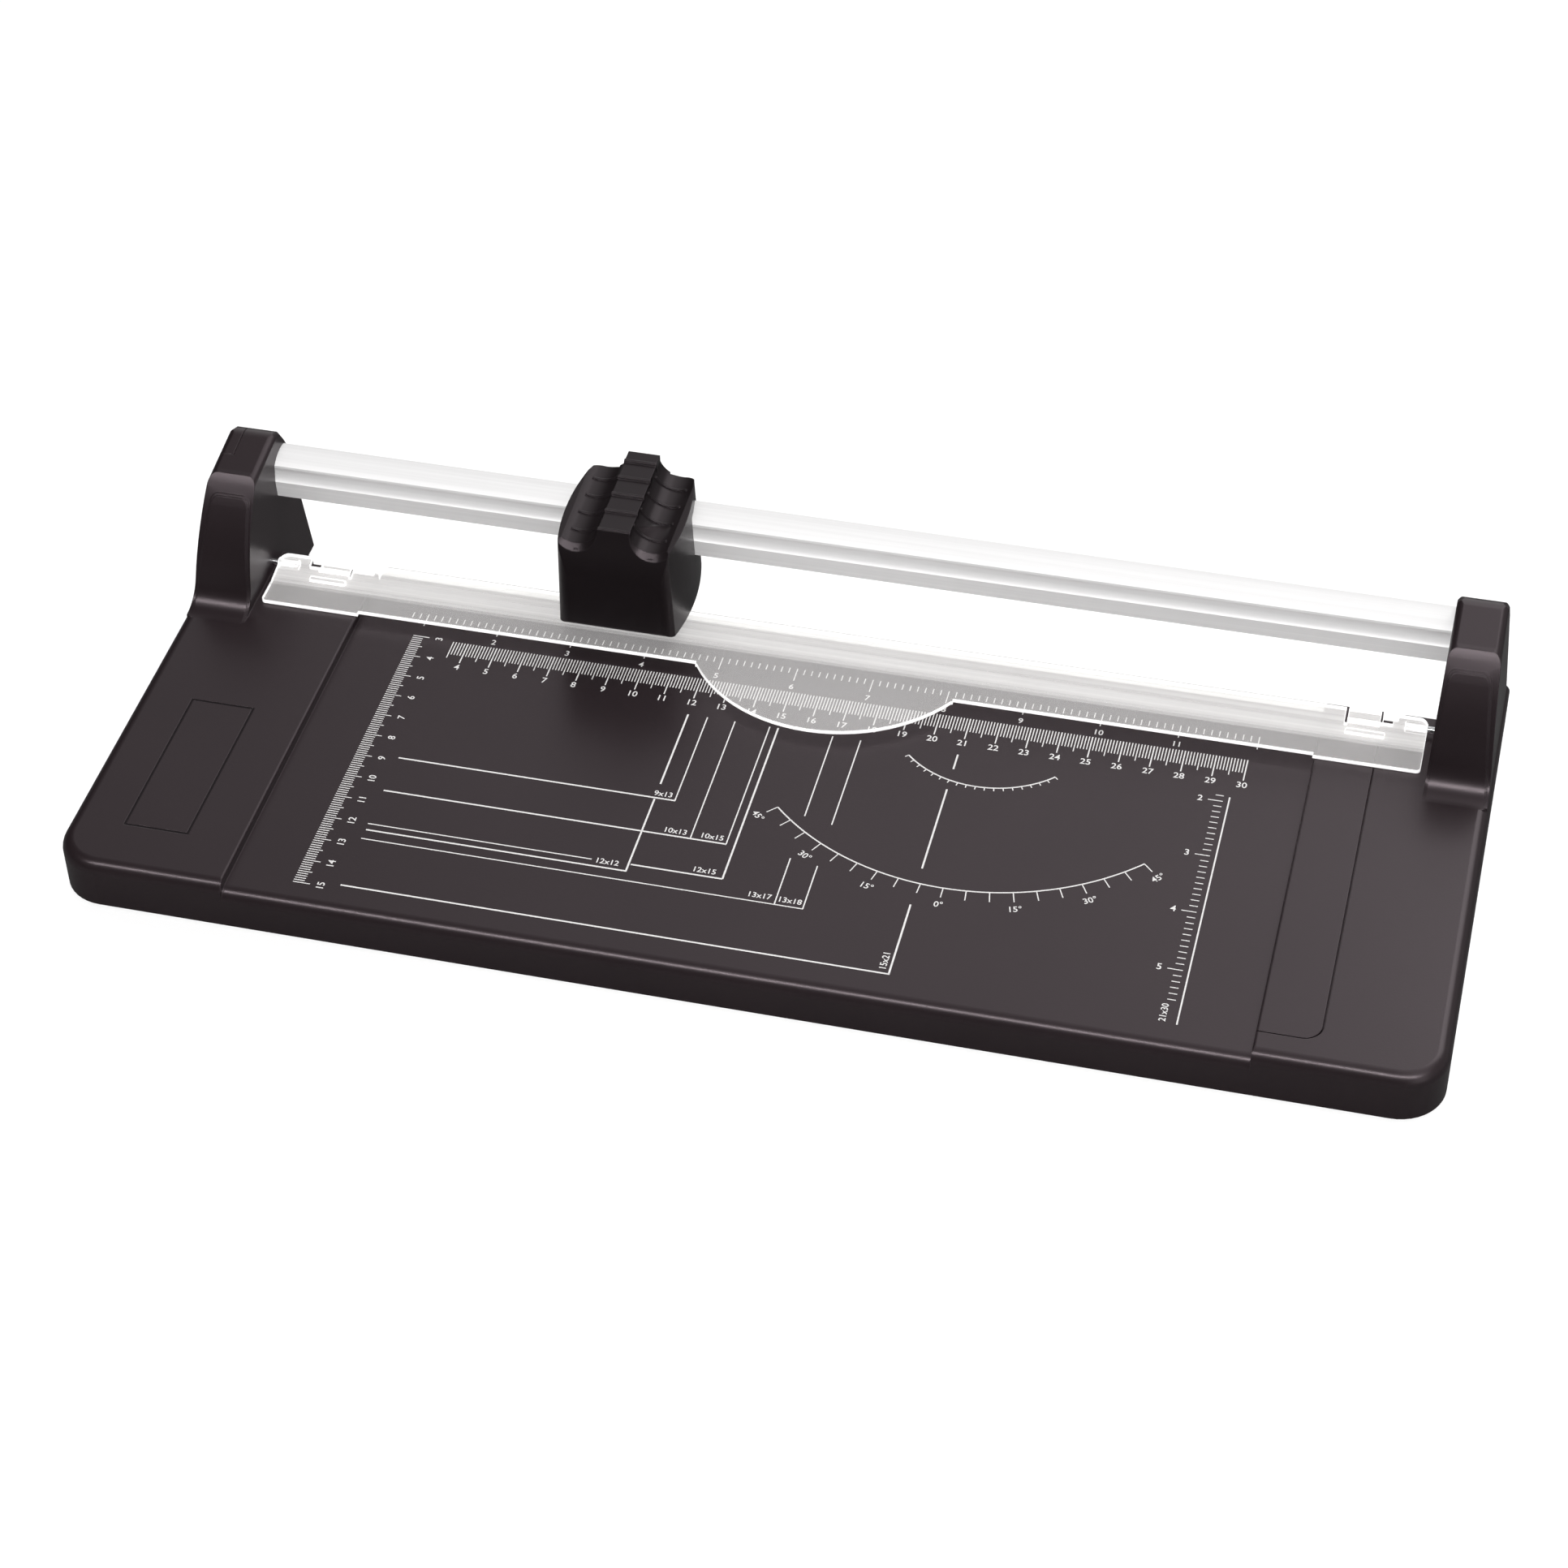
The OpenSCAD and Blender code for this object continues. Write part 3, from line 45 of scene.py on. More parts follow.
# Print: steps along the rulers in centimetres, line widths and digit heights in metres
CM = 0.01
TENTH_INCH = 0.254
TICK_LINE = 0.00034
ANGLE_LINE = 0.00036
THIN_LINE = 0.00042
ARC_LINE = 0.0005
BOLD_LINE = 0.0006
RULE_DIGITS = 0.0036
SMALL_DIGITS = 0.0034
ANGLE_DIGITS = 0.0033
SIZE_DIGITS = 0.0031
CORNER_DIGITS = 0.0030
UPWARD = math.pi / 2

# Surfaces: width of a softened edge in metres, which is lighter there (partly wear, partly painted
# highlight), grain and line density, tint of the black's shine
SOFT_EDGE_WIDTH = 0.0005
RIM_EDGE = 0.0006
DRAWN_SCALE = 900.0
GROUND_SCALE = 2400.0
WARM_SHINE = (1.0, 0.86, 0.92)


# Small helpers

def finished(name, bm):
    """The bmesh as a new object at the origin."""
    mesh = bpy.data.meshes.new(name)
    bm.to_mesh(mesh)
    bm.free()
    piece = bpy.data.objects.new(name, mesh)
    bpy.context.scene.collection.objects.link(piece)
    return piece


def feed(nt, socket, value):
    """Joins an output to the socket, or sets the socket to a plain value."""
    if isinstance(value, bpy.types.NodeSocket):
        nt.links.new(value, socket)
    else:
        socket.default_value = value


def math_node(nt, operation, a, b=0.0):
    """One sum on numbers or outputs."""
    node = nt.nodes.new("ShaderNodeMath")
    node.operation = operation
    feed(nt, node.inputs[0], a)
    feed(nt, node.inputs[1], b)
    return node.outputs[0]


def mapped(nt, value, start, end, low, high):
    """The value moved from the span start..end to low..high, held at both ends."""
    node = nt.nodes.new("ShaderNodeMapRange")
    limits = {"Value": value, "From Min": start, "From Max": end, "To Min": low, "To Max": high}
    for label, limit in limits.items():
        feed(nt, node.inputs[label], limit)
    return node.outputs["Result"]


def blend(nt, factor, a, b):
    """Colour between a and b."""
    node = nt.nodes.new("ShaderNodeMix")
    node.data_type = "RGBA"
    for label, value in (("Factor", factor), ("A", a), ("B", b)):
        feed(nt, node.inputs[label], value)
    return node.outputs["Result"]


def object_place(nt):
    """Coordinates of the piece itself."""
    return nt.nodes.new("ShaderNodeTexCoord").outputs["Object"]


def parts_of(nt, vector):
    """The X, Y and Z of a vector."""
    node = nt.nodes.new("ShaderNodeSeparateXYZ")
    nt.links.new(vector, node.inputs[0])
    return node.outputs


def noise(nt, place, scale, detail=2.0):
    """Soft noise at the given coordinates."""
    node = nt.nodes.new("ShaderNodeTexNoise")
    nt.links.new(place, node.inputs["Vector"])
    feed(nt, node.inputs["Scale"], scale)
    node.inputs["Detail"].default_value = detail
    return node.outputs["Fac"]


def squeezed(nt, place, amount):
    """Coordinates squeezed along X, which draws a noise out into lines."""
    node = nt.nodes.new("ShaderNodeMapping")
    node.inputs["Scale"].default_value = (amount, 1.0, 1.0)
    nt.links.new(place, node.inputs["Vector"])
    return node.outputs["Vector"]


# Camera and studio

def photo_camera():
    """Camera at the photograph's angle, solved from the two printed rulers."""
    right = Vector((0.97044, 0.24050, -0.01990))
    up = Vector((-0.14919, 0.66271, 0.73386))
    back = Vector((0.18968, -0.70920, 0.67901))
    place = (0.2219, -0.8424, 0.8162)
    data = bpy.data.cameras.new("photo_camera")
    data.sensor_width = 36.0
    data.lens = 85.40
    data.clip_start = 0.01
    data.clip_end = 20.0
    camera = bpy.data.objects.new("photo_camera", data)
    bpy.context.scene.collection.objects.link(camera)
    turn = Matrix((right, up, back)).transposed().to_4x4()
    camera.matrix_world = Matrix.Translation(place) @ turn
    bpy.context.scene.camera = camera


def soft_box(name, place, aim, size, watts, mirrored, shadows):
    """Rectangular lamp, its long side level. It may be seen in gloss, and may cast shadows."""
    data = bpy.data.lights.new(name, "AREA")
    data.use_shadow = shadows
    data.shape = "RECTANGLE"
    data.size, data.size_y = size
    data.energy = watts
    lamp = bpy.data.objects.new(name, data)
    bpy.context.scene.collection.objects.link(lamp)
    back = (Vector(place) - Vector(aim)).normalized()
    across = Vector((0, 1, 0)).cross(back).normalized()
    turn = Matrix((across, back.cross(across), back)).transposed().to_4x4()
    lamp.matrix_world = Matrix.Translation(place) @ turn
    lamp.visible_glossy = mirrored


def studio_lamps():
    """A strip for the edge highlights, two lamps from the rear and a weak fill."""
    soft_box(
        "front_strip_light", (0.1, -0.62, 1.15), (0.1, -0.08, 0), (1.9, 0.12),
        watts=18.0, mirrored=True, shadows=False,
    )
    soft_box(
        "overhead_rear", (0.1, 0.52, 1.2), (0, 0.06, 0), (1.6, 0.34),
        watts=7.5, mirrored=False, shadows=True,
    )
    soft_box(
        "rear_softbox", (0.65, 1.15, 1.1), (0.1, 0, 0), (0.8, 0.6),
        watts=3.2, mirrored=True, shadows=True,
    )
    soft_box(
        "front_fill", (0.1, -1.6, 0.35), (0.05, 0, 0.04), (1.6, 0.5),
        watts=5.0, mirrored=False, shadows=False,
    )


def backdrop(nt, strength, colour=(1, 1, 1)):
    """Plain sky of one colour."""
    node = nt.nodes.new("ShaderNodeBackground")
    node.inputs["Color"].default_value = (*colour, 1)
    feed(nt, node.inputs["Strength"], strength)
    return node.outputs[0]


def mixed(nt, factor, a, b):
    """Shader between a and b."""
    mix = nt.nodes.new("ShaderNodeMixShader")
    for socket, value in zip(mix.inputs, (factor, a, b)):
        nt.links.new(value, socket)
    return mix.outputs[0]


def seen_directly(nt, path):
    """1 for what the camera sees, also through the clear strip."""
    return math_node(nt, "MAXIMUM", path.outputs["Is Camera Ray"], path.outputs["Is Transmission Ray"])


def studio_world():
    """White for the camera, a soft sky for light, and a sky brighter at the right rear in gloss."""
    low_sky, high_sky = 0.10, 0.26
    warm_white = (1.0, 0.985, 0.98)
    brightest, right_edge = 1.3, 0.25
    world = bpy.data.worlds.new("studio")
    bpy.context.scene.world = world
    world.use_nodes = True
    nt = world.node_tree
    nt.nodes.clear()
    path = nt.nodes.new("ShaderNodeLightPath")
    side = parts_of(nt, nt.nodes.new("ShaderNodeTexCoord").outputs["Generated"])
    lighting = backdrop(nt, mapped(nt, side["Z"], 0.0, 0.8, low_sky, high_sky), warm_white)
    rear_right = math_node(nt, "ADD", math_node(nt, "MULTIPLY", side["X"], 1.7), side["Y"])
    rising = mapped(nt, rear_right, -0.3, 0.75, 0.0, brightest)
    falling = mapped(nt, rear_right, 0.88, 1.25, 1.0, right_edge)
    mirrored = backdrop(nt, math_node(nt, "MULTIPLY", rising, falling))
    lit = mixed(nt, path.outputs["Is Glossy Ray"], lighting, mirrored)
    out = nt.nodes.new("ShaderNodeOutputWorld")
    nt.links.new(mixed(nt, seen_directly(nt, path), lit, backdrop(nt, 1.0)), out.inputs["Surface"])


def floor_surface(nt, grey, glow=0.0):
    """Dull grey, with a glow of its own where one is given."""
    diffuse = nt.nodes.new("ShaderNodeBsdfDiffuse")
    diffuse.inputs["Color"].default_value = (grey, grey, grey, 1)
    if not glow:
        return diffuse.outputs[0]
    light = nt.nodes.new("ShaderNodeEmission")
    light.inputs["Strength"].default_value = glow
    both = nt.nodes.new("ShaderNodeAddShader")
    nt.links.new(diffuse.outputs[0], both.inputs[0])
    nt.links.new(light.outputs[0], both.inputs[1])
    return both.outputs[0]


def pale_floor():
    """White table with the object's shadow, darker in gloss, and pure white far from the object."""
    half_side = 4.0
    fade_start, fade_end = 0.45, 0.9
    bm = bmesh.new()
    bmesh.ops.create_grid(bm, x_segments=1, y_segments=1, size=half_side)
    floor = finished("studio_floor", bm)
    material = bpy.data.materials.new("white_floor")
    material.use_nodes = True
    nt = material.node_tree
    nt.nodes.clear()
    path = nt.nodes.new("ShaderNodeLightPath")
    distance = nt.nodes.new("ShaderNodeVectorMath")
    distance.operation = "LENGTH"
    nt.links.new(object_place(nt), distance.inputs[0])
    far = mapped(nt, distance.outputs["Value"], fade_start, fade_end, 0.0, 1.0)
    thrown = mixed(nt, path.outputs["Is Glossy Ray"], floor_surface(nt, 0.85), floor_surface(nt, 0.11))
    seen = mixed(nt, far, floor_surface(nt, 0.6, 0.42), floor_surface(nt, 0.0, 1.0))
    out = nt.nodes.new("ShaderNodeOutputMaterial")
    nt.links.new(mixed(nt, seen_directly(nt, path), thrown, seen), out.inputs["Surface"])
    floor.data.materials.append(material)


# Shared surface effects

def new_group(name, inputs, outputs):
    """Empty node group with its sockets, and the two ends to join."""
    group = bpy.data.node_groups.new(name, "ShaderNodeTree")
    for label, kind, value in inputs:
        socket = group.interface.new_socket(label, in_out="INPUT", socket_type=kind)
        socket.default_value = value
    for label, kind in outputs:
        group.interface.new_socket(label, in_out="OUTPUT", socket_type=kind)
    given = group.nodes.new("NodeGroupInput").outputs
    wanted = group.nodes.new("NodeGroupOutput").inputs
    return group, given, wanted


def moulded_grain():
    """Spark-eroded grain, slow tone drift and a lighter colour along edges, partly wear and partly a
    painted edge highlight.
    """
    group, given, wanted = new_group(
        "moulded_grain",
        [
            ("Dark", "NodeSocketColor", (0.01, 0.01, 0.01, 1)),
            ("Light", "NodeSocketColor", (0.02, 0.02, 0.02, 1)),
            ("Edge Wear And Highlight", "NodeSocketColor", (0.05, 0.05, 0.05, 1)),
            ("Grain Scale", "NodeSocketFloat", 1600.0),
            ("Edge Radius", "NodeSocketFloat", SOFT_EDGE_WIDTH),
            ("Rough Low", "NodeSocketFloat", 0.36),
            ("Rough High", "NodeSocketFloat", 0.5),
        ],
        [
            ("Color", "NodeSocketColor"),
            ("Roughness", "NodeSocketFloat"),
            ("Height", "NodeSocketFloat"),
            ("Edge", "NodeSocketFloat"),
            ("Soft Normal", "NodeSocketVector"),
        ],
    )
    link = group.links.new
    place = object_place(group)
    drift = noise(group, place, 22.0, 4.0)
    fine = noise(group, place, math_node(group, "MULTIPLY", given["Grain Scale"], 1.7))
    grain = group.nodes.new("ShaderNodeTexVoronoi")
    grain.feature = "SMOOTH_F1"
    link(place, grain.inputs["Vector"])
    link(given["Grain Scale"], grain.inputs["Scale"])
    faint = math_node(group, "MULTIPLY", fine, 0.6)
    link(math_node(group, "ADD", grain.outputs["Distance"], faint), wanted["Height"])

    soft = group.nodes.new("ShaderNodeBevel")
    soft.samples = 4
    link(given["Edge Radius"], soft.inputs["Radius"])
    link(soft.outputs["Normal"], wanted["Soft Normal"])
    agreement = group.nodes.new("ShaderNodeVectorMath")
    agreement.operation = "DOT_PRODUCT"
    link(soft.outputs["Normal"], agreement.inputs[0])
    link(group.nodes.new("ShaderNodeNewGeometry").outputs["Normal"], agreement.inputs[1])
    flatness = math_node(group, "ABSOLUTE", agreement.outputs["Value"])
    edge = mapped(group, flatness, 0.995, 0.80, 0.0, 1.0)
    link(edge, wanted["Edge"])

    tone = blend(group, drift, given["Dark"], given["Light"])
    # Lighter colour along edges: partly worn plastic, partly a painted edge highlight.
    patchy_wear_and_highlight = math_node(group, "MULTIPLY", edge, drift)
    link(blend(group, patchy_wear_and_highlight, tone, given["Edge Wear And Highlight"]), wanted["Color"])
    rough = mapped(group, fine, 0.0, 1.0, given["Rough Low"], given["Rough High"])
    link(rough, wanted["Roughness"])
    return group


def drawn_lines():
    """Fine lines left along X by drawing or extruding."""
    group, given, wanted = new_group(
        "drawn_lines",
        [
            ("Line Scale", "NodeSocketFloat", DRAWN_SCALE),
            ("Rough Low", "NodeSocketFloat", 0.2),
            ("Rough High", "NodeSocketFloat", 0.34),
        ],
        [("Shade", "NodeSocketFloat"), ("Roughness", "NodeSocketFloat"), ("Height", "NodeSocketFloat")],
    )
    link = group.links.new
    place = object_place(group)
    lines = noise(group, squeezed(group, place, 0.006), given["Line Scale"], 3.0)
    link(lines, wanted["Shade"])
    link(lines, wanted["Height"])
    cloud = noise(group, place, 30.0)
    rough = mapped(group, cloud, 0.0, 1.0, given["Rough Low"], given["Rough High"])
    link(rough, wanted["Roughness"])
    return group


def placed(nt, group, values):
    """A shared effect placed in a material with its own values."""
    node = nt.nodes.new("ShaderNodeGroup")
    node.node_tree = group
    for label, value in values.items():
        node.inputs[label].default_value = value
    return node.outputs


# Materials

def shader_of(name):
    """New material with its nodes and its shader, joined to the output."""
    material = bpy.data.materials.new(name)
    material.use_nodes = True
    nt = material.node_tree
    nt.nodes.clear()
    shader = nt.nodes.new("ShaderNodeBsdfPrincipled")
    out = nt.nodes.new("ShaderNodeOutputMaterial")
    nt.links.new(shader.outputs[0], out.inputs["Surface"])
    return material, nt, shader


def raised(nt, shader, height, distance, strength, normal=None):
    """Relief on the shader, distance deep in metres, on top of a softened normal."""
    bump = nt.nodes.new("ShaderNodeBump")
    bump.inputs["Distance"].default_value = distance
    bump.inputs["Strength"].default_value = strength
    nt.links.new(height, bump.inputs["Height"])
    if normal is not None:
        nt.links.new(normal, bump.inputs["Normal"])
    nt.links.new(bump.outputs["Normal"], shader.inputs["Normal"])


def moulded_plastic(
    name, group, dark, light, edge_wear_and_highlight, rough,
    grain=1600.0, depth=0.00002, specular=0.5, tint=(1.0, 1.0, 1.0),
):
    """Moulded plastic that drifts from dark to light and is lighter along its edges, partly from wear
    and partly as a painted edge highlight.
    """
    material, nt, shader = shader_of(name)
    surface = placed(nt, group, {
        "Dark": (*dark, 1),
        "Light": (*light, 1),
        "Edge Wear And Highlight": (*edge_wear_and_highlight, 1),
        "Grain Scale": grain,
        "Edge Radius": SOFT_EDGE_WIDTH,
        "Rough Low": rough[0],
        "Rough High": rough[1],
    })
    nt.links.new(surface["Color"], shader.inputs["Base Color"])
    nt.links.new(surface["Roughness"], shader.inputs["Roughness"])
    shader.inputs["Specular IOR Level"].default_value = specular
    shader.inputs["Specular Tint"].default_value = (*tint, 1)
    raised(nt, shader, surface["Height"], depth, 0.6, surface["Soft Normal"])
    return material


def frame_groove_mask(nt):
    """1 in the groove around the bare frame of the left panel, where shade is painted."""
    place = parts_of(nt, object_place(nt))
    beyond = []
    for axis, middle, reach in zip("XY", FRAME_MIDDLE, FRAME_REACH):
        away = math_node(nt, "ABSOLUTE", math_node(nt, "SUBTRACT", place[axis], middle))
        beyond.append(math_node(nt, "SUBTRACT", away, reach))
    rim = math_node(nt, "MAXIMUM", *beyond)
    inner, outer = FRAME_GROOVE
    past_inner = math_node(nt, "GREATER_THAN", rim, inner)
    before_outer = math_node(nt, "LESS_THAN", rim, outer)
    return math_node(nt, "MULTIPLY", before_outer, past_inner)


def shade_groove(material):
    """Painted shade down in the groove of the frame: darker and duller plastic."""
    nt = material.node_tree
    shader = nt.nodes["Principled BSDF"]
    mask = frame_groove_mask(nt)
    around = shader.inputs["Base Color"].links[0].from_socket
    sheen = shader.inputs["Roughness"].links[0].from_socket
    # Near-black colour in the groove: painted shade of the narrow recess.
    colour = blend(nt, mask, around, (0.003, 0.0025, 0.0027, 1))
    rough = math_node(nt, "MAXIMUM", sheen, math_node(nt, "MULTIPLY", mask, 0.95))
    nt.links.new(colour, shader.inputs["Base Color"])
    nt.links.new(rough, shader.inputs["Roughness"])


def drawn_metal(name, group, bright, dull, rough, lines=DRAWN_SCALE, metallic=1.0):
    """Metal between bright and dull, with fine lines along X."""
    material, nt, shader = shader_of(name)
    surface = placed(nt, group, {"Line Scale": lines, "Rough Low": rough[0], "Rough High": rough[1]})
    tone = blend(nt, surface["Shade"], (*dull, 1), (*bright, 1))
    nt.links.new(tone, shader.inputs["Base Color"])
    nt.links.new(surface["Roughness"], shader.inputs["Roughness"])
    shader.inputs["Metallic"].default_value = metallic
    raised(nt, shader, surface["Height"], 0.000004, 0.5)
    return material


def sheet_rim(nt, edge):
    """1 on the narrow side faces of a flat sheet and along its edges."""
    facing = parts_of(nt, nt.nodes.new("ShaderNodeNewGeometry").outputs["Normal"])
    upright = math_node(nt, "ABSOLUTE", facing["Z"])
    return math_node(nt, "MAXIMUM", edge, mapped(nt, upright, 0.75, 0.4, 0.0, 1.0))


def ribbed_band(nt, place):
    """Fine ribs along X on the sloping back of the strip."""
    ribs = noise(nt, squeezed(nt, place, 0.003), 700.0)
    band = mapped(nt, parts_of(nt, place)["Y"], STRIP_SLOPE_Y, STRIP_SLOPE_Y + 0.0006, 0.0, 1.0)
    return math_node(nt, "MULTIPLY", band, mapped(nt, ribs, 0.3, 0.7, 0.4, 1.0))


def crease_line(nt, place):
    """1 in the painted shade line where the sloping back of the strip begins."""
    depth = parts_of(nt, place)["Y"]
    before = mapped(nt, depth, STRIP_SLOPE_Y - 0.0009, STRIP_SLOPE_Y - 0.0004, 0.0, 1.0)
    behind = mapped(nt, depth, STRIP_SLOPE_Y, STRIP_SLOPE_Y + 0.0004, 1.0, 0.0)
    return math_node(nt, "MULTIPLY", before, behind)


def clear_acrylic(grain):
    """Hazy clear plastic: see-through faces, denser ribs at the back, a painted glow over the whole
    strip, painted highlights on its rims and a painted shade line at the crease.
    """
    material, nt, shader = shader_of("hazy_clear_acrylic")
    surface = placed(nt, grain, {
        "Dark": (0.90, 0.885, 0.875, 1),
        "Light": (0.96, 0.95, 0.94, 1),
        # White along the edges: a painted highlight on the rims of the strip.
        "Edge Wear And Highlight": (1, 1, 1, 1),
        "Grain Scale": 900.0,
        "Edge Radius": RIM_EDGE,
        "Rough Low": 0.08,
        "Rough High": 0.11,
    })
    nt.links.new(surface["Color"], shader.inputs["Base Color"])
    nt.links.new(surface["Roughness"], shader.inputs["Roughness"])
    place = object_place(nt)
    rim = sheet_rim(nt, surface["Edge"])
    ribs = ribbed_band(nt, place)
    haze = mapped(nt, ribs, 0.0, 1.0, 0.16, 0.38)
    dense = mapped(nt, rim, 0.0, 1.0, 0.0, 0.95)
    nt.links.new(math_node(nt, "MAXIMUM", haze, dense), shader.inputs["Alpha"])
    # Emission is painted light: a faint glow over the whole strip, a little stronger on the ribs, and a
    # painted highlight on the rims.
    lit = math_node(nt, "ADD", mapped(nt, ribs, 0.0, 1.0, 0.16, 0.18), rim)
    # Painted shade: the glow drops to a fifth in the line at the crease.
    crease_painted_shade = mapped(nt, crease_line(nt, place), 0.0, 1.0, 1.0, 0.2)
    nt.links.new(math_node(nt, "MULTIPLY", lit, crease_painted_shade), shader.inputs["Emission Color"])
    shader.inputs["Emission Strength"].default_value = 0.5
    shader.inputs["IOR"].default_value = 1.47
    raised(nt, shader, surface["Height"], 0.000001, 0.2, surface["Soft Normal"])
    return material


def print_ink():
    """Thin white ink, a little uneven over the grain of the bed."""
    material, nt, shader = shader_of("white_print_ink")
    cover = noise(nt, object_place(nt), 1400.0)
    tone = blend(nt, cover, (0.50, 0.49, 0.49, 1), (0.78, 0.77, 0.76, 1))
    nt.links.new(tone, shader.inputs["Base Color"])
    nt.links.new(mapped(nt, cover, 0.0, 1.0, 0.4, 0.6), shader.inputs["Roughness"])
    raised(nt, shader, cover, 0.00001, 0.3)
    return material


# Printed scales

def on_bed(cm_x, cm_y):
    """Place of a print position, in centimetres from the zero corner of the rulers."""
    return Vector((cm_x * CM + RULER_ZERO_X, CUT_Y - cm_y * CM, BED_TOP + INK_RISE))


def stroke(bm, start, end, width):
    """One straight printed line from start to end, in ruler centimetres."""
    a, b = on_bed(*start), on_bed(*end)
    run = b - a
    lay = (
        Matrix.Translation((a + b) / 2)
        @ Matrix.Rotation(math.atan2(run.y, run.x), 4, "Z")
        @ Matrix.Diagonal((run.length, width, 1, 1))
    )
    bmesh.ops.create_grid(bm, x_segments=1, y_segments=1, size=0.5, matrix=lay)


def number(bm, text, centre, size, turned=0.0):
    """Plain digits centred on a ruler position."""
    curve = bpy.data.curves.new("digits", "FONT")
    curve.body = text
    curve.size = size
    curve.align_x = "CENTER"
    curve.align_y = "CENTER"
    curve.resolution_u = 3
    curve.offset = size * 0.012
    holder = bpy.data.objects.new("digits", curve)
    bpy.context.scene.collection.objects.link(holder)
    bpy.context.view_layer.update()
    mesh = bpy.data.meshes.new_from_object(holder.evaluated_get(bpy.context.evaluated_depsgraph_get()))
    mesh.transform(Matrix.Translation(on_bed(*centre)) @ Matrix.Rotation(turned, 4, "Z"))
    bm.from_mesh(mesh)
    bpy.data.objects.remove(holder)
    bpy.data.curves.remove(curve)
    bpy.data.meshes.remove(mesh)


def tick_end(step, whole, half, single):
    """How far a tick reaches: furthest at every tenth step, less at every fifth."""
    if step % 10 == 0:
        return whole
    return half if step % 5 == 0 else single


def rear_rule(bm):
    """Centimetre ruler behind the bed, along the cutting line."""
    for mm in range(35, 301):
        x = mm / 10
        whole = mm % 10 == 0
        end = tick_end(mm, 4.02, 3.84, 3.66)
        stroke(bm, (x, 3.03), (x, end), THIN_LINE if whole else TICK_LINE)
        if whole:
            number(bm, str(mm // 10), (x - 0.02, 4.24), RULE_DIGITS)


def inch_rule(bm):
    """Ruler in tenths of an inch, under the clear strip."""
    for tenth in range(8, 121):
        x = tenth * TENTH_INCH - 0.274
        whole = tenth % 10 == 0
        stroke(bm, (x, 1.86), (x, 2.46 if whole else 2.12), TICK_LINE)
        if whole and 20 <= tenth <= 110:
            number(bm, str(tenth // 10), (x, 2.78), SMALL_DIGITS)


def left_rule(bm):
    """Centimetre ruler down the left side of the bed."""
    for mm in range(30, 151):
        y = mm / 10
        stroke(bm, (2.08, y), (tick_end(mm, 2.64, 2.54, 2.44), y), TICK_LINE)
        if mm % 10 == 0:
            number(bm, str(mm // 10), (2.99, y), SMALL_DIGITS, UPWARD)


def right_rule(bm):
    """Ruler in tenths of an inch down the right side of the bed, with a plain line beside it."""
    for tenth in range(19, 56):
        y = tenth * TENTH_INCH + 0.03
        whole = tenth % 10 == 0
        stroke(bm, (29.05 if whole else 29.26, y), (29.52, y), ANGLE_LINE)
        if whole:
            number(bm, str(tenth // 10), (28.80, y - 0.01), RULE_DIGITS)
    stroke(bm, (29.71, 4.88), (29.71, 14.98), ARC_LINE)


def format_lines(bm):
    """Corner lines of the sheet sizes, each with its size in centimetres."""
    top = 4.82
    stroke(bm, (3.50, 8.87), (12.70, 8.87), BOLD_LINE)
    stroke(bm, (12.68, 8.87), (12.68, top), THIN_LINE)
    number(bm, "9x13", (12.25, 8.66), SIZE_DIGITS)
    stroke(bm, (3.52, 10.44), (14.77, 10.44), BOLD_LINE)
    stroke(bm, (14.76, 10.44), (14.76, top), THIN_LINE)
    stroke(bm, (13.60, 10.44), (13.60, top), THIN_LINE)
    number(bm, "10x13", (13.06, 10.22), SIZE_DIGITS)
    number(bm, "10x15", (14.25, 10.22), SIZE_DIGITS)
    stroke(bm, (3.52, 12.01), (10.85, 12.01), THIN_LINE)
    stroke(bm, (12.10, 11.97), (15.04, 11.97), BOLD_LINE)
    stroke(bm, (15.04, 11.97), (15.04, top), BOLD_LINE)
    number(bm, "12x15", (14.40, 11.74), SIZE_DIGITS)
    stroke(bm, (3.55, 12.29), (12.05, 12.29), BOLD_LINE)
    stroke(bm, (12.03, 12.29), (12.03, 8.92), BOLD_LINE)
    stroke(bm, (12.03, 8.22), (12.03, top), BOLD_LINE)
    number(bm, "12x12", (11.35, 12.03), SIZE_DIGITS)
    stroke(bm, (3.53, 12.70), (17.78, 12.70), THIN_LINE)
    stroke(bm, (17.77, 12.70), (17.77, 10.76), THIN_LINE)
    stroke(bm, (17.77, 8.86), (17.77, top), THIN_LINE)
    stroke(bm, (16.87, 12.70), (16.87, 10.60), THIN_LINE)
    stroke(bm, (16.85, 8.66), (16.85, top), THIN_LINE)
    number(bm, "13x17", (16.33, 12.43), SIZE_DIGITS)
    number(bm, "13x18", (17.30, 12.45), SIZE_DIGITS)
    stroke(bm, (3.58, 14.83), (20.98, 14.83), BOLD_LINE)
    for start, end in ((14.83, 11.78), (10.16, 6.47), (5.50, 4.80)):
        stroke(bm, (20.95, start), (20.95, end), BOLD_LINE)
    number(bm, "15x21", (20.72, 14.30), SIZE_DIGITS, UPWARD)
    number(bm, "21x30", (29.26, 14.56), CORNER_DIGITS, UPWARD)


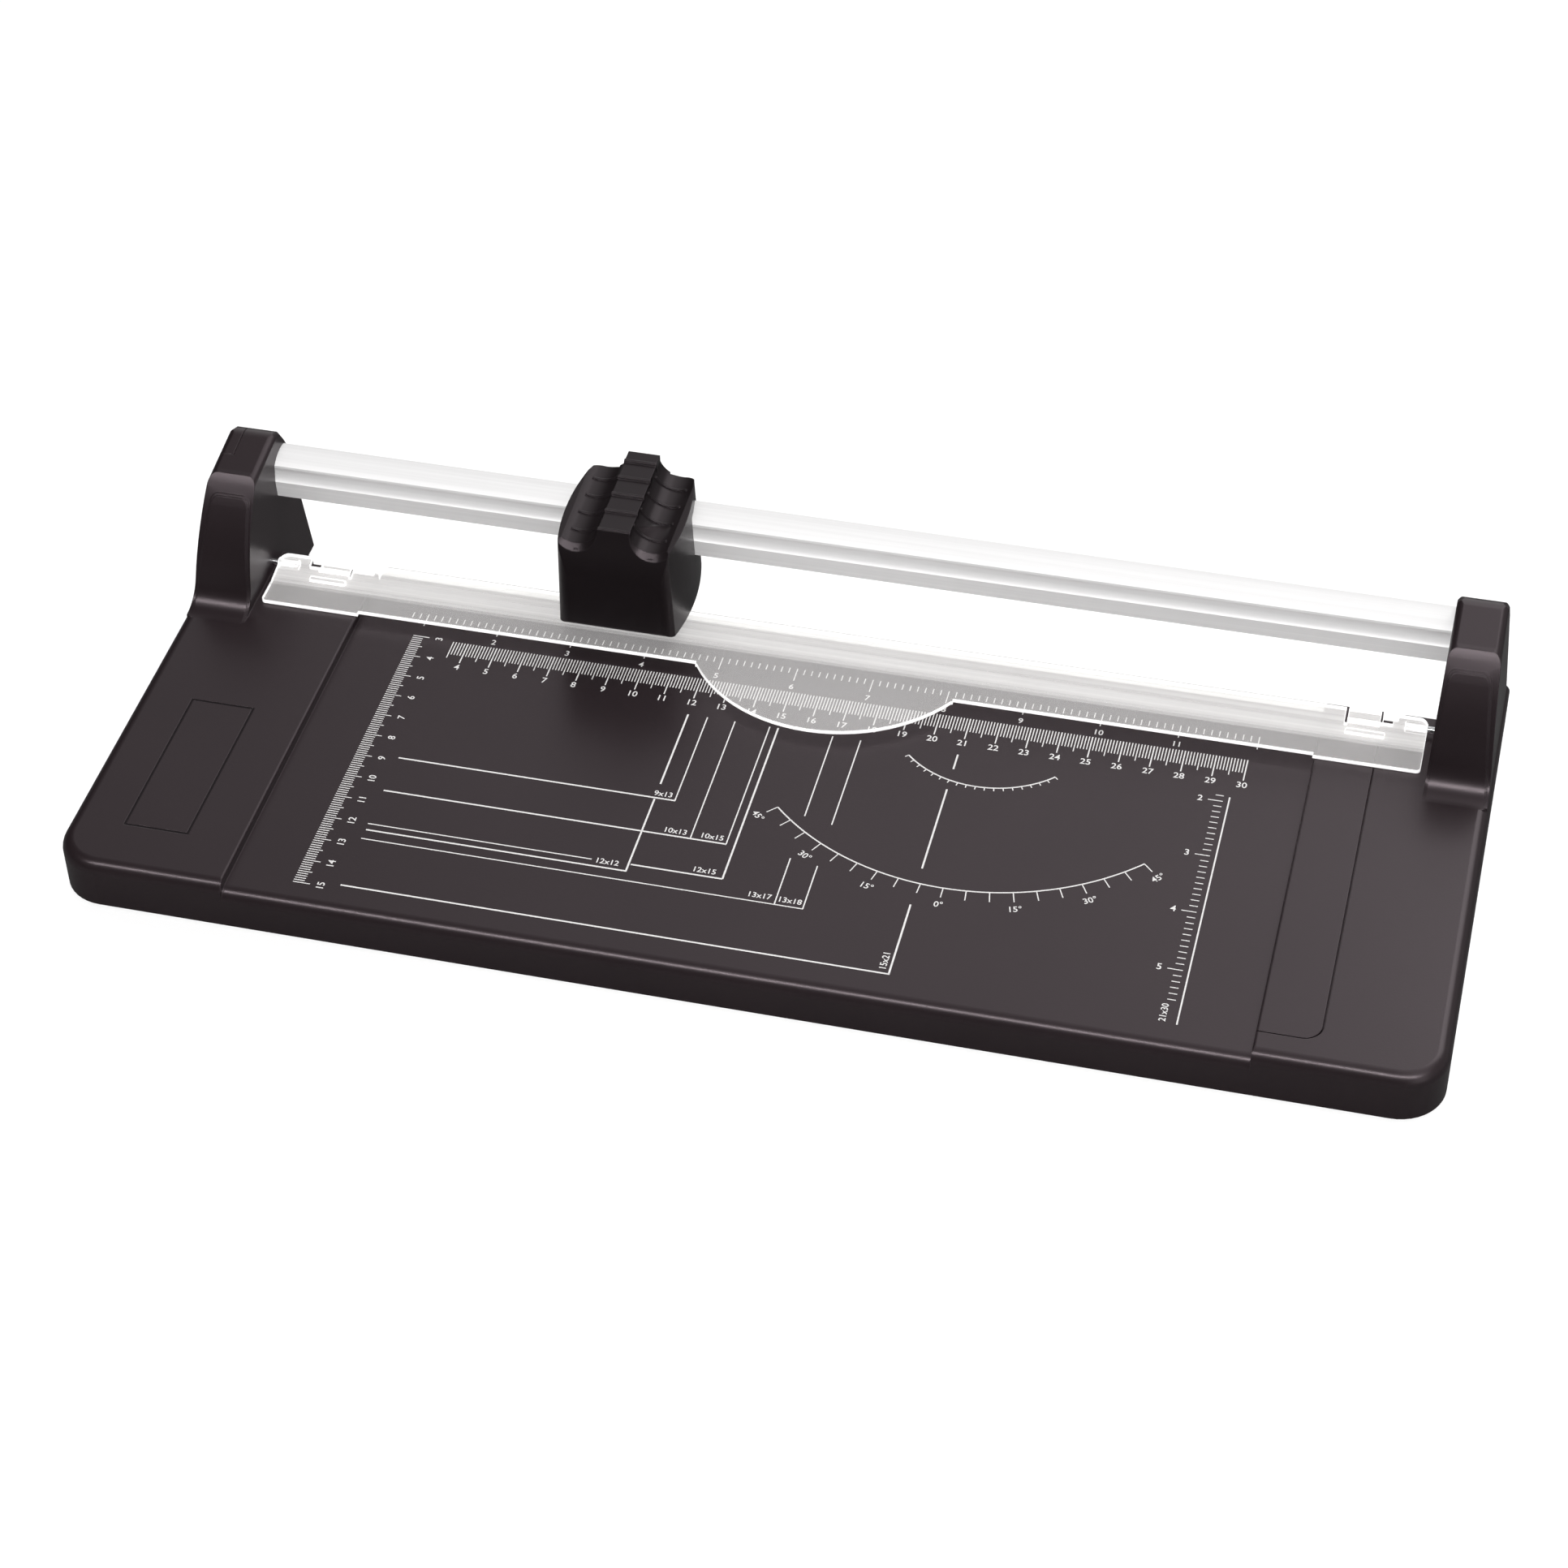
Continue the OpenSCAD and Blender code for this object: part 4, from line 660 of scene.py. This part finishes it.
def dial(bm, radius, centre, tick, labels):
    """Quarter circle of angles with ticks outwards at every fifth degree."""
    def at(angle, reach):
        turn = math.radians(angle)
        return (centre[0] + reach * math.sin(turn), centre[1] + reach * math.cos(turn))

    for angle in range(-45, 45):
        stroke(bm, at(angle, radius), at(angle + 1.1, radius), ARC_LINE)
    for angle in range(-45, 46, 5):
        stroke(bm, at(angle, radius), at(angle, radius + tick), ANGLE_LINE)
    if labels:
        for angle in range(-45, 46, 15):
            text = str(abs(angle)) + chr(176)
            number(bm, text, at(angle, radius + tick + 0.32), ANGLE_DIGITS, math.radians(angle))


def bed_print(ink):
    """All rulers, lines, dials and digits of the bed as one printed piece."""
    bm = bmesh.new()
    rear_rule(bm)
    inch_rule(bm)
    left_rule(bm)
    right_rule(bm)
    format_lines(bm)
    dial(bm, 8.26, (21.77, 2.60), 0.42, labels=True)
    dial(bm, 3.36, (21.80, 2.78), 0.14, labels=False)
    for face in bm.faces:
        if face.normal.z < 0:
            face.normal_flip()
    piece = finished("bed_scales", bm)
    piece.data.materials.append(ink)
    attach(piece, "base")


# Putting it together

def dress_nodes():
    """Every CAD node gets its material."""
    grain = moulded_grain()
    lines = drawn_lines()
    base = moulded_plastic(
        "base_satin_black", grain,
        dark=(0.0120, 0.0084, 0.0095), light=(0.0165, 0.0117, 0.0132), edge_wear_and_highlight=(0.032, 0.026, 0.028),
        rough=(0.26, 0.34), depth=0.000012, tint=WARM_SHINE,
    )
    shade_groove(base)
    head = moulded_plastic(
        "head_deep_black", grain,
        dark=(0.0065, 0.005, 0.0055), light=(0.011, 0.0085, 0.0094), edge_wear_and_highlight=(0.035, 0.03, 0.032),
        rough=(0.26, 0.34), grain=2200.0, depth=0.00001, specular=0.28, tint=WARM_SHINE,
    )
    dark = moulded_plastic(
        "inner_black_plastic", grain,
        dark=(0.012, 0.012, 0.012), light=(0.022, 0.022, 0.022), edge_wear_and_highlight=(0.05, 0.05, 0.05),
        rough=(0.4, 0.55), grain=2000.0,
    )
    pale = moulded_plastic(
        "cutting_strip_plastic", grain,
        dark=(0.56, 0.56, 0.54), light=(0.64, 0.64, 0.62), edge_wear_and_highlight=(0.7, 0.7, 0.68),
        rough=(0.45, 0.6), grain=2600.0, depth=0.00001,
    )
    glide = moulded_plastic(
        "natural_nylon", grain,
        dark=(0.66, 0.63, 0.55), light=(0.76, 0.74, 0.66), edge_wear_and_highlight=(0.8, 0.78, 0.7),
        rough=(0.3, 0.42), grain=2600.0, depth=0.000006,
    )
    rubber = moulded_plastic(
        "foot_rubber", grain,
        dark=(0.012, 0.012, 0.012), light=(0.02, 0.02, 0.02), edge_wear_and_highlight=(0.03, 0.03, 0.03),
        rough=(0.65, 0.85), grain=3000.0,
    )
    rail = drawn_metal(
        "satin_anodised_rail", lines,
        bright=(0.78, 0.775, 0.775), dull=(0.65, 0.645, 0.645), rough=(0.40, 0.52), metallic=0.18,
    )
    steel = drawn_metal(
        "plated_screw_steel", lines,
        bright=(0.62, 0.62, 0.63), dull=(0.48, 0.48, 0.49), rough=(0.24, 0.36), lines=GROUND_SCALE,
    )
    ground = drawn_metal(
        "ground_blade_steel", lines,
        bright=(0.8, 0.81, 0.82), dull=(0.68, 0.69, 0.7), rough=(0.12, 0.24), lines=GROUND_SCALE,
    )
    brass = drawn_metal(
        "spacer_brass", lines,
        bright=(0.80, 0.60, 0.26), dull=(0.66, 0.47, 0.18), rough=(0.24, 0.36), lines=GROUND_SCALE,
    )
    clear = clear_acrylic(grain)
    finish = {
        "base_shell": base,
        "fence_plate": base,
        "rail_lock_cap": base,
        "cutting_strip": pale,
        "rubber_feet": rubber,
        "guide_rail": rail,
        "rail_plugs": dark,
        "rail_screws": steel,
        "post_cover_left": dark,
        "post_cover_right": dark,
        "post_cover_screws": steel,
        "clamp_strip": clear,
        "clamp_pins": ground,
        "glide_sleeve": glide,
        "head_housing": head,
        "head_back_cover": head,
        "head_screws": steel,
        "press_springs": steel,
        "blade_carrier": dark,
        "carrier_screws": steel,
        "blade_axle": ground,
        "blade_washer": brass,
        "rotary_blade": ground,
        "blade_clip": steel,
    }
    for node, material in finish.items():
        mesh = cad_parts[node].data
        mesh.materials.clear()
        mesh.materials.append(material)


photo_camera()
studio_world()
pale_floor()
bpy.context.scene.view_settings.view_transform = "Standard"
studio_lamps()
dress_nodes()
bed_print(print_ink())
